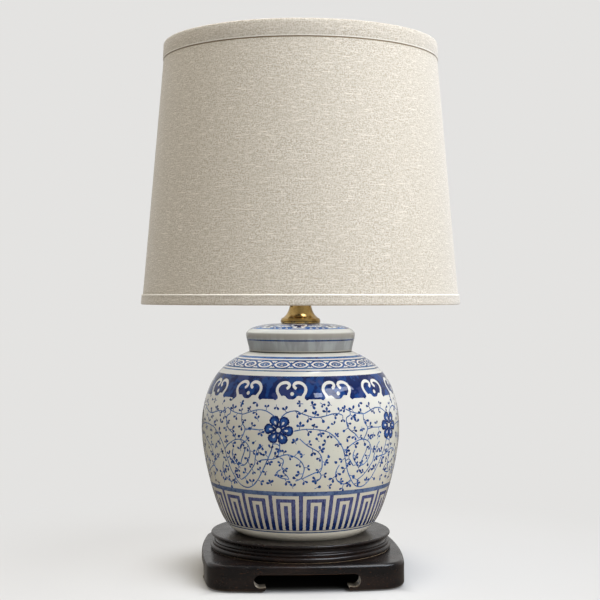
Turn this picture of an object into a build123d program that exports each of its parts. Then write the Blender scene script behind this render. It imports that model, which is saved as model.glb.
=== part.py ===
from build123d import *
import os
from math import atan, cos, hypot, pi, sin, sqrt

# A ginger jar lamp: a lidded porcelain jar on a carved wooden stand, clamped by a steel lamp
# pipe that runs from under the stand to the lamp socket, with a brass neck, a wire harp and a
# tapered linen shade. Millimetres, +Z up, origin on the table under the jar's axis, -Y the front.

os.makedirs("parts", exist_ok=True)

# ---- driving dimensions -------------------------------------------------------------------

# clearances
thread_gap = 0.05        # radial gap between a thread and its nut, as smooth cylinders
running_gap = 0.1        # radial gap of a sliding or turning fit
face_gap = 0.2           # between the flat faces of two pieces that part from each other
glue_gap = 0.05          # glue film between the layers of the shade
drill_gap = 0.4          # radial gap of a drilled hole round the pipe

# felt pads
pad_radius = 5.0
pad_thick = 0.8

# square base with bracket feet
base_half = 118.5        # axis to the middle of a side
base_bow = 9.0           # the middle of a side stands out past its corners by this
base_corner = 30.0
base_height = 29.7
base_top_round = 4.5
base_foot_round = 5.0
board_thick = 10.0       # the flat board over the feet
apron_thick = 20.0       # the walls that end in feet
scroll_radius = 7.4      # round end of the cut-out between two feet
scroll_centre = 52.5
toe_half_gap = 46.5      # axis to the tip of a toe
toe_round = 5.5

# turned plinth
plinth_radius = 108.0    # the lower bead, which is the widest
plinth_rim_radius = 107.2
plinth_neck_radius = 101.0
upper_bead_radius = 105.8
bead_root_radius = 105.0
rim_edge = 1.4           # how far the disc's rim rounds off
lower_bead_height = 6.3
upper_bead_height = 3.2
scotia_height = 6.7
rim_height = 3.3

# wood screws
screw_ring_radius = 62.0
screw_radius = 2.0
screw_head_radius = 4.0
screw_bite = 12.0        # length of screw in the plinth

# porcelain jar: radius and height over its foot of points up the outside, foot to lid seat
jar_outline = [(75.5, 0), (90.0, 12.5), (98.9, 30.3), (108.1, 59.2), (114.6, 88), (118.4, 122),
               (116.2, 149), (108.8, 173.5), (95.5, 193.3), (78.5, 206.6), (62.5, 214.4)]
jar_wall = 5.0
jar_foot_width = 8.0
jar_foot_recess = 6.0
jar_floor = 6.0
jar_hole_radius = 9.0
collar_radius = 55.0
collar_wall = 4.5
collar_height = 16.5

# lid: radius and height over its rim of points on the outside
lid_outline = [(61.9, 0), (63.3, 8.5), (65.2, 16.5), (65.2, 21.3), (61.6, 25.2), (52.0, 29.0),
               (40.0, 31.2), (26.0, 32.3)]
lid_wall = 4.5
gasket_thick = 1.2
gasket_width = 4.5
rubber_radius = 20.0

# brass neck and its felt washer
felt_washer_thick = 0.6
felt_washer_radius = 22.8
neck_foot_radius = 23.9
neck_foot_height = 5.6
neck_top_radius = 12.8
neck_height = 21.6
neck_wall = 1.2

# lamp pipe and its hardware
pipe_radius = 4.95
pipe_bore_radius = 3.25
pipe_tail = 5.0          # pipe below the bottom nut
plate_radius = 19.0
plate_thick = 2.0
lock_radius = 8.0
lock_thick = 1.0
nut_across = 14.0        # across flats
nut_height = 4.5
bushing_radius = 6.2
bushing_flange = 2.0
bushing_length = 6.0
bushing_wall = 0.9

# harp saddle
saddle_thick = 1.6
saddle_width = 14.0
saddle_flat = 19.0       # half length of the flat middle
saddle_rise = 7.0
saddle_arm = 8.0
stub_length = 6.0

# harp, its seat and its sleeves
harp_wire_radius = 2.0
harp_leg_half = 24.8     # axis to a leg
harp_half_width = 57.0   # axis to the wire at the wide part
harp_height = 258.7      # foot of a leg to the centre line at the top
harp_leg_straight = 38.0
harp_flare = 50.0        # height of the slanting stretch
harp_bend_radius = 40.0
harp_shoulder_radius = 42.0
sleeve_radius = 3.5
sleeve_length = 14.0
sleeve_lap = 3.5         # how far a sleeve covers the saddle's stub
seat_hub_radius = 6.0
seat_hub_half = 4.0      # half height of the hub that grips the wire
seat_radius = 10.0
seat_thick = 2.0
stud_radius = 3.1
stud_height = 14.0

# lamp socket
cap_hub_radius = 7.5
cap_hub_height = 8.0
cap_bowl_height = 11.0
cap_rim_height = 5.0
cap_wall = 0.8
shell_radius = 17.3
shell_wall = 0.6
shell_height = 42.0
shell_lap = 3.5          # shell inside the cap's rim
liner_wall = 0.8
switch_lift = 1.5        # switch body over the shell's lower edge
switch_body_height = 13.0
switch_body_gap = 0.5
contact_rise = 2.3
contact_half = 4.0
contact_width = 4.0
contact_thick = 0.5
lamp_thread_radius = 13.0    # crest of the bulb's screw cap
thread_depth = 0.8
thread_pitch = 3.63
thread_turns = 5
thread_wall = 0.5
terminal_spread = 9.0
terminal_radius = 2.6
terminal_shank = 1.5
set_screw_radius = 1.4
set_screw_reach = 1.5    # outside the hub
stem_radius = 2.0
stem_root = 6.0          # axis to the stem's inner end
stem_length = 17.0
key_hub_radius = 3.6
key_hub_length = 5.0
key_half_length = 8.0
key_half_width = 4.5
key_length = 9.0

# bulb
bulb_radius = 30.0
bulb_length = 86.0       # top of the screw cap to the crown
bulb_wall = 0.8
bulb_neck_radius = 12.8
bulb_cap_length = 22.0
bulb_cap_wall = 0.5
bulb_button_radius = 4.5
bulb_insulator_height = 1.8
bulb_button_height = 0.6
bulb_stem_radius = 3.6
bulb_stem_height = 28.0
filament_half = 11.0
filament_rise = 16.0
filament_radius = 0.35

# shade
spider_drop = 24.7       # from the shade's upper edge down to the harp's seat
shade_height = 309.9     # trims included
shade_bottom_radius = 189.3  # linen at the lower edge
shade_top_radius = 162.1     # linen at the upper edge
linen_thick = 0.8
card_thick = 0.5
ring_wire_radius = 1.6
trim_fold = 0.6          # thickness of a trim over the shade's edge
trim_inturn = 5.0        # how far a trim turns in over the wire
top_trim_height = 19.4
top_trim_proud = 0.5
top_trim_head = 1.6      # proud of the linen at the upper edge
bottom_trim_height = 12.2
bottom_trim_proud = 1.5
spider_wire_radius = 1.8
spider_arms = 3
spider_washer_radius = 11.0
spider_washer_thick = 1.6
spider_arm_start = 8.0
spider_arm_bend = 24.0
spider_weld = 0.4        # arm sunk in the washer

# finial
finial_base_radius = 6.5
finial_base_height = 2.4
finial_neck_radius = 4.2
finial_neck_height = 7.0
finial_ball_radius = 8.5
finial_ball_height = 17.0
finial_tip_radius = 3.4
finial_height = 36.0

# ---- heights that follow, from the table up ---------------------------------------------------

base_bottom = pad_thick
base_top = base_bottom + base_height
cavity_top = base_top - board_thick
lower_bead_top = base_top + lower_bead_height
upper_bead_top = lower_bead_top + upper_bead_height
scotia_top = upper_bead_top + scotia_height
plinth_top = scotia_top + rim_height
jar_recess_top = plinth_top + jar_foot_recess
jar_floor_top = jar_recess_top + jar_floor
lid_seat = plinth_top + jar_outline[-1][1]
lid_bottom = lid_seat + gasket_thick
lid_top = lid_bottom + lid_outline[-1][1]
neck_bottom = lid_top + felt_washer_thick
neck_top = neck_bottom + neck_height
saddle_top = neck_top + saddle_thick
cap_bottom = saddle_top + nut_height
pipe_top = cap_bottom + cap_hub_height
bowl_top = pipe_top + cap_bowl_height
cap_top = bowl_top + cap_rim_height
shell_bottom = cap_top - shell_lap
shell_top = shell_bottom + shell_height
switch_bottom = shell_bottom + switch_lift
switch_top = switch_bottom + switch_body_height
stem_height = switch_bottom + switch_body_height / 2
contact_top = switch_top + contact_rise
button_bottom = contact_top + face_gap
bulb_cap_bottom = button_bottom + bulb_button_height + bulb_insulator_height
bulb_cap_top = bulb_cap_bottom + bulb_cap_length
plate_bottom = cavity_top - plate_thick
lock_bottom = plate_bottom - lock_thick
bottom_nut_bottom = lock_bottom - nut_height
pipe_bottom = bottom_nut_bottom - pipe_tail
arm_top = neck_top + saddle_rise + saddle_arm
stub_top = arm_top + stub_length
harp_bottom = stub_top + face_gap
harp_top = harp_bottom + harp_height
seat_top = harp_top + seat_hub_half + seat_thick
stud_top = seat_top + stud_height
spider_bottom = seat_top + running_gap
spider_top = spider_bottom + spider_washer_thick
finial_bottom = spider_top + running_gap
shade_top = seat_top + spider_drop
shade_bottom = shade_top - shade_height
linen_bottom = shade_bottom + trim_fold
linen_top = shade_top - trim_fold
pipe_hole_radius = pipe_radius + drill_gap
pipe_thread_radius = pipe_radius + thread_gap


def linen_radius(height):
    """Outside radius of the shade's linen at a height over the table."""
    share = (height - linen_bottom) / (linen_top - linen_bottom)
    return shade_bottom_radius + share * (shade_top_radius - shade_bottom_radius)


def inset(outline, depth):
    """The outline's inner points, moved square to it by depth towards the axis."""
    moved = []
    for before, here, after in zip(outline, outline[1:], outline[2:]):
        along_r, along_z = after[0] - before[0], after[1] - before[1]
        length = hypot(along_r, along_z)
        moved.append((here[0] - depth * along_z / length, here[1] + depth * along_r / length))
    return moved


def raised(outline, height):
    """The outline's points with their heights taken from the table."""
    return [(radius, z + height) for radius, z in outline]


def washer(outer_radius, inner_radius, bottom, thick):
    """A flat ring on the lamp's axis."""
    with BuildPart() as ring:
        with BuildSketch(Plane.XY.offset(bottom)):
            Circle(outer_radius)
            Circle(inner_radius, mode=Mode.SUBTRACT)
        extrude(amount=thick)
    return ring


def pipe_nut(bottom):
    """A hex nut on the lamp pipe."""
    with BuildPart() as nut:
        with BuildSketch(Plane.XY.offset(bottom)):
            RegularPolygon(radius=nut_across / 2, side_count=6, major_radius=False)
            Circle(pipe_thread_radius, mode=Mode.SUBTRACT)
        extrude(amount=nut_height)
    return nut


# ---- stand ------------------------------------------------------------------------------------

def bowed_square(half, corner):
    """A square with sides that bow out and rounded corners, half wide from its middle."""
    point = half - base_bow
    corners = [(-point, -point), (point, -point), (point, point), (-point, point)]
    middles = [(0, -half), (half, 0), (0, half), (-half, 0)]
    with BuildSketch() as plan:
        with BuildLine():
            for side in range(4):
                ThreePointArc(corners[side], middles[side], corners[(side + 1) % 4])
        make_face()
        fillet(plan.vertices(), radius=corner)
    return plan.sketch


def corner_reach(half, corner):
    """Distance from the axis to a rounded corner of the bowed square, along the diagonal."""
    half_angle = pi / 4 + 2 * atan(base_bow / (half - base_bow))
    return sqrt(2) * (half - base_bow) - corner * (1 / sin(half_angle) - 1)


# the opening between two feet, with its round ends and rounded toes
toe_side = toe_round * (1 - cos(pi / 4))
with BuildSketch() as bracket:
    with BuildLine():
        Line((0, cavity_top), (scroll_centre, cavity_top))
        ThreePointArc((scroll_centre, cavity_top),
                      (scroll_centre + scroll_radius, cavity_top - scroll_radius),
                      (scroll_centre, cavity_top - 2 * scroll_radius))
        Line((scroll_centre, cavity_top - 2 * scroll_radius),
             (toe_half_gap, base_bottom + toe_round))
        ThreePointArc((toe_half_gap, base_bottom + toe_round),
                      (toe_half_gap + toe_side, base_bottom + toe_side),
                      (toe_half_gap + toe_round, base_bottom))
        Polyline((toe_half_gap + toe_round, base_bottom), (toe_half_gap + toe_round, 0),
                 (0, 0), (0, cavity_top))
    make_face()
    mirror(about=Plane.YZ)

bracket_reach = base_half + base_corner
cavity_half = base_half - apron_thick
cavity_corner = base_corner - apron_thick
with BuildPart() as stand_base:
    with BuildSketch(Plane.XY.offset(base_bottom)):
        add(bowed_square(base_half, base_corner))
    extrude(amount=base_height)
    fillet(stand_base.faces().sort_by(Axis.Z)[-1].edges(), radius=base_top_round)
    fillet(stand_base.faces().sort_by(Axis.Z)[0].edges(), radius=base_foot_round)
    with BuildSketch(Plane.XY.offset(base_bottom)):
        add(bowed_square(cavity_half, cavity_corner))
    extrude(amount=base_height - board_thick, mode=Mode.SUBTRACT)
    for across in (Plane.XZ.offset(-bracket_reach), Plane.YZ.offset(-bracket_reach)):
        with BuildSketch(across):
            add(bracket.sketch)
        extrude(amount=2 * bracket_reach, mode=Mode.SUBTRACT)
    with BuildSketch(Plane.XY.offset(cavity_top)):
        Circle(pipe_hole_radius)
    extrude(amount=board_thick, mode=Mode.SUBTRACT)
    with Locations(Plane((0, 0, cavity_top), z_dir=(0, 0, -1))):
        with PolarLocations(screw_ring_radius, 4, start_angle=45):
            CounterSinkHole(radius=screw_radius + running_gap,
                            counter_sink_radius=screw_head_radius + running_gap,
                            depth=board_thick, counter_sink_angle=90)
stand_base.part.label = "stand_base"
export_step(stand_base.part, "parts/stand_base.step")

# the pads lie in the middle of the flat ground that each foot leaves
ground_reach = corner_reach(base_half, base_corner) - base_foot_round
pad_ring_radius = (corner_reach(cavity_half, cavity_corner) + ground_reach) / 2
with BuildPart() as foot_pads:
    with BuildSketch():
        with PolarLocations(pad_ring_radius, 4, start_angle=45):
            Circle(pad_radius)
    extrude(amount=pad_thick)
foot_pads.part.label = "foot_pads"
export_step(foot_pads.part, "parts/foot_pads.step")

with BuildPart() as stand_plinth:
    with BuildSketch(Plane.XZ):
        with BuildLine():
            Line((pipe_hole_radius, base_top), (bead_root_radius, base_top))
            ThreePointArc((bead_root_radius, base_top),
                          (plinth_radius, base_top + lower_bead_height / 2),
                          (bead_root_radius, lower_bead_top))
            ThreePointArc((bead_root_radius, lower_bead_top),
                          (upper_bead_radius, lower_bead_top + upper_bead_height / 2),
                          (plinth_neck_radius + rim_edge, upper_bead_top))
            ThreePointArc((plinth_neck_radius + rim_edge, upper_bead_top),
                          (plinth_neck_radius, upper_bead_top + scotia_height * 0.4),
                          (plinth_rim_radius - rim_edge, scotia_top))
            ThreePointArc((plinth_rim_radius - rim_edge, scotia_top),
                          (plinth_rim_radius, scotia_top + rim_height / 2),
                          (plinth_rim_radius - rim_edge, plinth_top))
            Polyline((plinth_rim_radius - rim_edge, plinth_top), (pipe_hole_radius, plinth_top),
                     (pipe_hole_radius, base_top))
        make_face()
    revolve(axis=Axis.Z)
    with BuildSketch(Plane.XY.offset(base_top)):
        with PolarLocations(screw_ring_radius, 4, start_angle=45):
            Circle(screw_radius + running_gap)
    extrude(amount=screw_bite + face_gap, mode=Mode.SUBTRACT)
stand_plinth.part.label = "stand_plinth"
export_step(stand_plinth.part, "parts/stand_plinth.step")

with BuildPart() as one_screw:
    with BuildSketch(Plane.XZ):
        with BuildLine():
            Polyline((0, cavity_top), (screw_head_radius, cavity_top),
                     (screw_radius, cavity_top + screw_head_radius - screw_radius),
                     (screw_radius, base_top + screw_bite - screw_radius),
                     (0, base_top + screw_bite), close=True)
        make_face()
    revolve(axis=Axis.Z)
with BuildPart() as plinth_screws:
    with PolarLocations(screw_ring_radius, 4, start_angle=45):
        add(one_screw.part)
plinth_screws.part.label = "plinth_screws"
export_step(plinth_screws.part, "parts/plinth_screws.step")

# ---- jar and lid ------------------------------------------------------------------------------

jar_points = raised(jar_outline, plinth_top)
jar_inner = inset(jar_points, jar_wall)
jar_foot_radius = jar_outline[0][0]
collar_bore = collar_radius - collar_wall
with BuildPart() as jar:
    with BuildSketch(Plane.XZ):
        with BuildLine():
            Spline(*jar_points)
            Polyline(jar_points[-1], (collar_radius, lid_seat),
                     (collar_radius, lid_seat + collar_height),
                     (collar_bore, lid_seat + collar_height), (collar_bore, lid_seat - jar_wall))
            Spline((collar_bore, lid_seat - jar_wall), *reversed(jar_inner))
            Polyline(jar_inner[0], (jar_foot_radius, jar_floor_top),
                     (jar_hole_radius, jar_floor_top), (jar_hole_radius, jar_recess_top),
                     (jar_foot_radius - jar_foot_width - 1, jar_recess_top),
                     (jar_foot_radius - jar_foot_width, plinth_top), jar_points[0])
        make_face()
    revolve(axis=Axis.Z)
jar.part.label = "jar"
export_step(jar.part, "parts/jar.step")

with BuildPart() as jar_bush:
    with BuildSketch(Plane.XY.offset(plinth_top)):
        Circle(rubber_radius)
    extrude(amount=jar_foot_recess)
    with BuildSketch(Plane.XY.offset(jar_recess_top)):
        Circle(jar_hole_radius - running_gap)
    extrude(amount=jar_floor)
    with BuildSketch(Plane.XY.offset(plinth_top)):
        Circle(pipe_radius + running_gap)
    extrude(amount=jar_foot_recess + jar_floor, mode=Mode.SUBTRACT)
jar_bush.part.label = "jar_bush"
export_step(jar_bush.part, "parts/jar_bush.step")

rim_radius = lid_outline[0][0]
lid_gasket = washer(rim_radius - 0.4, rim_radius - gasket_width, lid_seat, gasket_thick)
lid_gasket.part.label = "lid_gasket"
export_step(lid_gasket.part, "parts/lid_gasket.step")

lid_points = raised(lid_outline, lid_bottom)
lid_inner = inset(lid_points, lid_wall)
with BuildPart() as lid:
    with BuildSketch(Plane.XZ):
        with BuildLine():
            Spline(*lid_points)
            Polyline(lid_points[-1], (pipe_hole_radius, lid_top),
                     (pipe_hole_radius, lid_top - lid_wall), (lid_inner[-1][0], lid_top - lid_wall),
                     lid_inner[-1])
            Spline(*reversed(lid_inner), (rim_radius - lid_wall, lid_bottom))
            Line((rim_radius - lid_wall, lid_bottom), lid_points[0])
        make_face()
    revolve(axis=Axis.Z)
lid.part.label = "lid"
export_step(lid.part, "parts/lid.step")

# ---- neck, pipe and clamping hardware ------------------------------------------------------------

neck_washer = washer(felt_washer_radius, pipe_hole_radius, lid_top, felt_washer_thick)
neck_washer.part.label = "neck_washer"
export_step(neck_washer.part, "parts/neck_washer.step")

# the flare sweeps in from the foot's top to the straight neck
flare_bottom = neck_bottom + neck_foot_height
flare_points = [(neck_foot_radius - 1.2, flare_bottom),
                (neck_foot_radius - 6.0, flare_bottom + 3.6),
                (neck_top_radius + 2.0, flare_bottom + 8.6),
                (neck_top_radius, neck_top)]
flare_inner = [(radius - neck_wall, height - neck_wall) for radius, height in flare_points]
with BuildPart() as brass_neck:
    with BuildSketch(Plane.XZ):
        with BuildLine():
            foot_edge = neck_foot_radius - 0.6
            Line((flare_inner[0][0], neck_bottom), (foot_edge, neck_bottom))
            ThreePointArc((foot_edge, neck_bottom),
                          (neck_foot_radius, neck_bottom + neck_foot_height * 0.4),
                          (foot_edge, neck_bottom + neck_foot_height * 0.8))
            Line((foot_edge, neck_bottom + neck_foot_height * 0.8), flare_points[0])
            Spline(*flare_points)
            Polyline(flare_points[-1], (pipe_hole_radius, neck_top),
                     (pipe_hole_radius, neck_top - neck_wall), flare_inner[-1])
            Spline(*reversed(flare_inner))
            Line(flare_inner[0], (flare_inner[0][0], neck_bottom))
        make_face()
    revolve(axis=Axis.Z)
brass_neck.part.label = "brass_neck"
export_step(brass_neck.part, "parts/brass_neck.step")

threaded_rod = washer(pipe_radius, pipe_bore_radius, pipe_bottom, pipe_top - pipe_bottom)
threaded_rod.part.label = "threaded_rod"
export_step(threaded_rod.part, "parts/threaded_rod.step")

bottom_washer = washer(plate_radius, pipe_hole_radius, plate_bottom, plate_thick)
bottom_washer.part.label = "bottom_washer"
export_step(bottom_washer.part, "parts/bottom_washer.step")

bottom_lock_washer = washer(lock_radius, pipe_radius + running_gap, lock_bottom, lock_thick)
bottom_lock_washer.part.label = "bottom_lock_washer"
export_step(bottom_lock_washer.part, "parts/bottom_lock_washer.step")

bottom_nut = pipe_nut(bottom_nut_bottom)
bottom_nut.part.label = "bottom_nut"
export_step(bottom_nut.part, "parts/bottom_nut.step")

saddle_nut = pipe_nut(saddle_top)
saddle_nut.part.label = "saddle_nut"
export_step(saddle_nut.part, "parts/saddle_nut.step")

with BuildPart() as inlet_bushing:
    with BuildSketch(Plane.XY.offset(pipe_bottom - bushing_flange)):
        Circle(bushing_radius)
    extrude(amount=bushing_flange)
    fillet(inlet_bushing.faces().sort_by(Axis.Z)[0].edges(), radius=bushing_flange * 0.4)
    with BuildSketch(Plane.XY.offset(pipe_bottom)):
        Circle(pipe_bore_radius - thread_gap)
    extrude(amount=bushing_length)
    with BuildSketch(Plane.XY.offset(pipe_bottom - bushing_flange)):
        Circle(pipe_bore_radius - thread_gap - bushing_wall)
    extrude(amount=bushing_flange + bushing_length, mode=Mode.SUBTRACT)
inlet_bushing.part.label = "inlet_bushing"
export_step(inlet_bushing.part, "parts/inlet_bushing.step")

# a bent strip whose two arms end in round stubs for the harp's sleeves
arm_inside = harp_leg_half - saddle_thick / 2
arm_outside = harp_leg_half + saddle_thick / 2
arm_bend = neck_top + saddle_rise
with BuildPart() as harp_saddle:
    with BuildSketch(Plane.XZ):
        with BuildLine():
            Polyline((0, neck_top), (saddle_flat + saddle_thick / 2, neck_top),
                     (arm_outside, arm_bend), (arm_outside, arm_top), (arm_inside, arm_top),
                     (arm_inside, arm_bend + saddle_thick / 2),
                     (saddle_flat, saddle_top), (0, saddle_top), close=True)
        make_face()
        mirror(about=Plane.YZ)
    extrude(amount=saddle_width / 2, both=True)
    with BuildSketch(Plane.XY.offset(neck_top)):
        Circle(pipe_hole_radius)
    extrude(amount=saddle_thick, mode=Mode.SUBTRACT)
    with BuildSketch(Plane.XY.offset(arm_top - saddle_arm)):
        with Locations((-harp_leg_half, 0), (harp_leg_half, 0)):
            Circle(harp_wire_radius)
    extrude(amount=saddle_arm + stub_length)
harp_saddle.part.label = "harp_saddle"
export_step(harp_saddle.part, "parts/harp_saddle.step")

# ---- lamp socket ------------------------------------------------------------------------------

cap_bore = shell_radius + running_gap
cap_outside = cap_bore + cap_wall
with BuildPart() as socket_cap:
    with BuildSketch(Plane.XZ):
        with BuildLine():
            Polyline((pipe_thread_radius, cap_bottom), (cap_hub_radius, cap_bottom),
                     (cap_hub_radius, pipe_top))
            ThreePointArc((cap_hub_radius, pipe_top),
                          (cap_outside - 3.0, pipe_top + cap_bowl_height * 0.45),
                          (cap_outside, bowl_top))
            Polyline((cap_outside, bowl_top), (cap_outside, cap_top), (cap_bore, cap_top),
                     (cap_bore, bowl_top))
            ThreePointArc((cap_bore, bowl_top),
                          (cap_bore - 3.1, pipe_top + cap_wall + cap_bowl_height * 0.45),
                          (cap_hub_radius, pipe_top + cap_wall))
            Polyline((cap_hub_radius, pipe_top + cap_wall),
                     (pipe_thread_radius, pipe_top + cap_wall), (pipe_thread_radius, cap_bottom))
        make_face()
    revolve(axis=Axis.Z)
    with BuildSketch(Plane.XZ):
        with Locations((0, cap_bottom + cap_hub_height / 2)):
            Circle(set_screw_radius + thread_gap)
    extrude(amount=-cap_hub_radius, mode=Mode.SUBTRACT)
socket_cap.part.label = "socket_cap"
export_step(socket_cap.part, "parts/socket_cap.step")

with BuildPart() as socket_set_screw:
    with BuildSketch(Plane.XZ.offset(-pipe_radius - thread_gap)):
        with Locations((0, cap_bottom + cap_hub_height / 2)):
            Circle(set_screw_radius)
    extrude(amount=-(cap_hub_radius - pipe_radius + set_screw_reach))
socket_set_screw.part.label = "socket_set_screw"
export_step(socket_set_screw.part, "parts/socket_set_screw.step")

liner_radius = shell_radius - shell_wall - running_gap
switch_radius = liner_radius - liner_wall - switch_body_gap


# the room of the switch's stem, cut from the front of the body, the liner and the shell
with BuildPart() as stem_room:
    with BuildSketch(Plane.XZ.offset(stem_root - face_gap)):
        with Locations((0, stem_height)):
            Circle(stem_radius + running_gap)
    extrude(amount=shell_radius)

with BuildPart() as socket_shell:
    with BuildSketch(Plane.XY.offset(shell_bottom)):
        Circle(shell_radius)
        Circle(shell_radius - shell_wall, mode=Mode.SUBTRACT)
    extrude(amount=shell_height)
    add(stem_room.part, mode=Mode.SUBTRACT)
socket_shell.part.label = "socket_shell"
export_step(socket_shell.part, "parts/socket_shell.step")

with BuildPart() as socket_liner:
    with BuildSketch(Plane.XY.offset(shell_bottom + switch_lift)):
        Circle(liner_radius)
        Circle(liner_radius - liner_wall, mode=Mode.SUBTRACT)
    extrude(amount=shell_height - 2 * switch_lift)
    add(stem_room.part, mode=Mode.SUBTRACT)
socket_liner.part.label = "socket_liner"
export_step(socket_liner.part, "parts/socket_liner.step")

with BuildPart() as socket_body:
    with BuildSketch(Plane.XY.offset(switch_bottom)):
        Circle(switch_radius)
        with Locations((-terminal_spread, 0), (terminal_spread, 0)):
            Circle(terminal_shank + thread_gap, mode=Mode.SUBTRACT)
    extrude(amount=switch_body_height)
    add(stem_room.part, mode=Mode.SUBTRACT)
socket_body.part.label = "socket_body"
export_step(socket_body.part, "parts/socket_body.step")

with BuildPart() as terminal_screws:
    with BuildSketch(Plane.XY.offset(switch_bottom)):
        with Locations((-terminal_spread, 0), (terminal_spread, 0)):
            Circle(terminal_radius)
    extrude(amount=-terminal_radius / 2)
    with BuildSketch(Plane.XY.offset(switch_bottom)):
        with Locations((-terminal_spread, 0), (terminal_spread, 0)):
            Circle(terminal_shank)
    extrude(amount=switch_body_height / 2)
terminal_screws.part.label = "terminal_screws"
export_step(terminal_screws.part, "parts/terminal_screws.step")

with BuildPart() as centre_contact:
    with BuildSketch(Plane.XZ):
        with BuildLine():
            Polyline((-contact_half, switch_top), (contact_half, switch_top),
                     (contact_half, switch_top + contact_thick),
                     (-contact_half + 2 * contact_thick, switch_top + contact_thick),
                     (0, contact_top - contact_thick), (contact_half / 2, contact_top - contact_thick),
                     (contact_half / 2, contact_top), (-contact_thick, contact_top),
                     (-contact_half, switch_top + 2 * contact_thick), close=True)
        make_face()
    extrude(amount=contact_width / 2, both=True)
centre_contact.part.label = "centre_contact"
export_step(centre_contact.part, "parts/centre_contact.step")


def thread_arcs(root_radius, bottom):
    """The round ridges of a lamp thread in section, from the bottom up."""
    for turn in range(thread_turns):
        start = bottom + turn * thread_pitch
        ThreePointArc((root_radius, start),
                      (root_radius + thread_depth, start + thread_pitch / 2),
                      (root_radius, start + thread_pitch))


socket_thread = lamp_thread_radius + running_gap
socket_thread_bottom = switch_top + thread_wall
socket_thread_top = socket_thread_bottom + thread_turns * thread_pitch
with BuildPart() as socket_screw_shell:
    with BuildSketch(Plane.XZ):
        with BuildLine():
            Line((contact_half + 2 * thread_wall, switch_top), (socket_thread, switch_top))
            Line((socket_thread, switch_top), (socket_thread + thread_wall, socket_thread_bottom))
            thread_arcs(socket_thread + thread_wall, socket_thread_bottom)
            Polyline((socket_thread + thread_wall, socket_thread_top),
                     (socket_thread + thread_wall, shell_top), (socket_thread, shell_top),
                     (socket_thread, socket_thread_top))
            thread_arcs(socket_thread, socket_thread_bottom)
            Polyline((socket_thread, socket_thread_bottom),
                     (contact_half + 2 * thread_wall, socket_thread_bottom),
                     (contact_half + 2 * thread_wall, switch_top))
        make_face()
    revolve(axis=Axis.Z)
socket_screw_shell.part.label = "socket_screw_shell"
export_step(socket_screw_shell.part, "parts/socket_screw_shell.step")

with BuildPart() as switch_stem:
    with BuildSketch(Plane.XZ.offset(stem_root)):
        with Locations((0, stem_height)):
            Circle(stem_radius)
    extrude(amount=stem_length)
switch_stem.part.label = "switch_stem"
export_step(switch_stem.part, "parts/switch_stem.step")

key_start = shell_radius + 2 * running_gap
stem_end = stem_root + stem_length
with BuildPart() as switch_key:
    with BuildSketch(Plane.XZ.offset(key_start)):
        with Locations((0, stem_height)):
            Circle(key_hub_radius)
    extrude(amount=key_hub_length)
    with BuildSketch(Plane.XZ.offset(key_start + key_hub_length)):
        with Locations((0, stem_height)):
            Ellipse(key_half_length, key_half_width)
    extrude(amount=key_length - key_hub_length)
    fillet(switch_key.faces().sort_by(Axis.Y)[0].edges(), radius=(key_length - key_hub_length) / 3)
    with BuildSketch(Plane.XZ.offset(key_start)):
        with Locations((0, stem_height)):
            Circle(stem_radius + thread_gap)
    extrude(amount=stem_end - key_start + face_gap, mode=Mode.SUBTRACT)
switch_key.part.label = "switch_key"
export_step(switch_key.part, "parts/switch_key.step")

# ---- bulb -------------------------------------------------------------------------------------

cap_root = lamp_thread_radius - thread_depth
cap_thread_bottom = bulb_cap_bottom + thread_depth * 2
cap_thread_top = cap_thread_bottom + thread_turns * thread_pitch
cap_floor_radius = bulb_button_radius + 5 * bulb_cap_wall
with BuildPart() as bulb_cap:
    with BuildSketch(Plane.XZ):
        with BuildLine():
            Line((cap_floor_radius, bulb_cap_bottom), (cap_root, cap_thread_bottom))
            thread_arcs(cap_root, cap_thread_bottom)
            Polyline((cap_root, cap_thread_top), (lamp_thread_radius, cap_thread_top + thread_depth),
                     (lamp_thread_radius, bulb_cap_top), (cap_root - bulb_cap_wall, bulb_cap_top),
                     (cap_root - bulb_cap_wall, cap_thread_bottom + bulb_cap_wall),
                     (cap_floor_radius, bulb_cap_bottom + 2 * bulb_cap_wall),
                     (cap_floor_radius, bulb_cap_bottom))
        make_face()
    revolve(axis=Axis.Z)
bulb_cap.part.label = "bulb_cap"
export_step(bulb_cap.part, "parts/bulb_cap.step")

with BuildPart() as bulb_contact:
    with BuildSketch(Plane.XZ):
        with BuildLine():
            Polyline((0, button_bottom), (bulb_button_radius, button_bottom),
                     (bulb_button_radius, button_bottom + bulb_button_height),
                     (cap_floor_radius - glue_gap, bulb_cap_bottom),
                     (cap_floor_radius - glue_gap, bulb_cap_bottom + 2 * bulb_cap_wall),
                     (0, bulb_cap_bottom + 2 * bulb_cap_wall), close=True)
        make_face()
    revolve(axis=Axis.Z)
bulb_contact.part.label = "bulb_contact"
export_step(bulb_contact.part, "parts/bulb_contact.step")

crown_centre = bulb_cap_top + bulb_length - bulb_radius


def bulb_side(depth):
    """Points up the glass from its neck to its widest ring, moved in by depth."""
    swell = bulb_radius - bulb_neck_radius
    rise = crown_centre - bulb_cap_top
    shares = [(0, 0), (0.1, 0.22), (0.45, 0.5), (0.84, 0.75), (1, 1)]
    return [(bulb_neck_radius + swell * out - depth, bulb_cap_top + rise * up)
            for out, up in shares]


def crown_arc(radius):
    """A quarter circle from the widest ring over to the axis."""
    lean = radius * cos(pi / 4)
    ThreePointArc((radius, crown_centre), (lean, crown_centre + lean), (0, crown_centre + radius))


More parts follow.
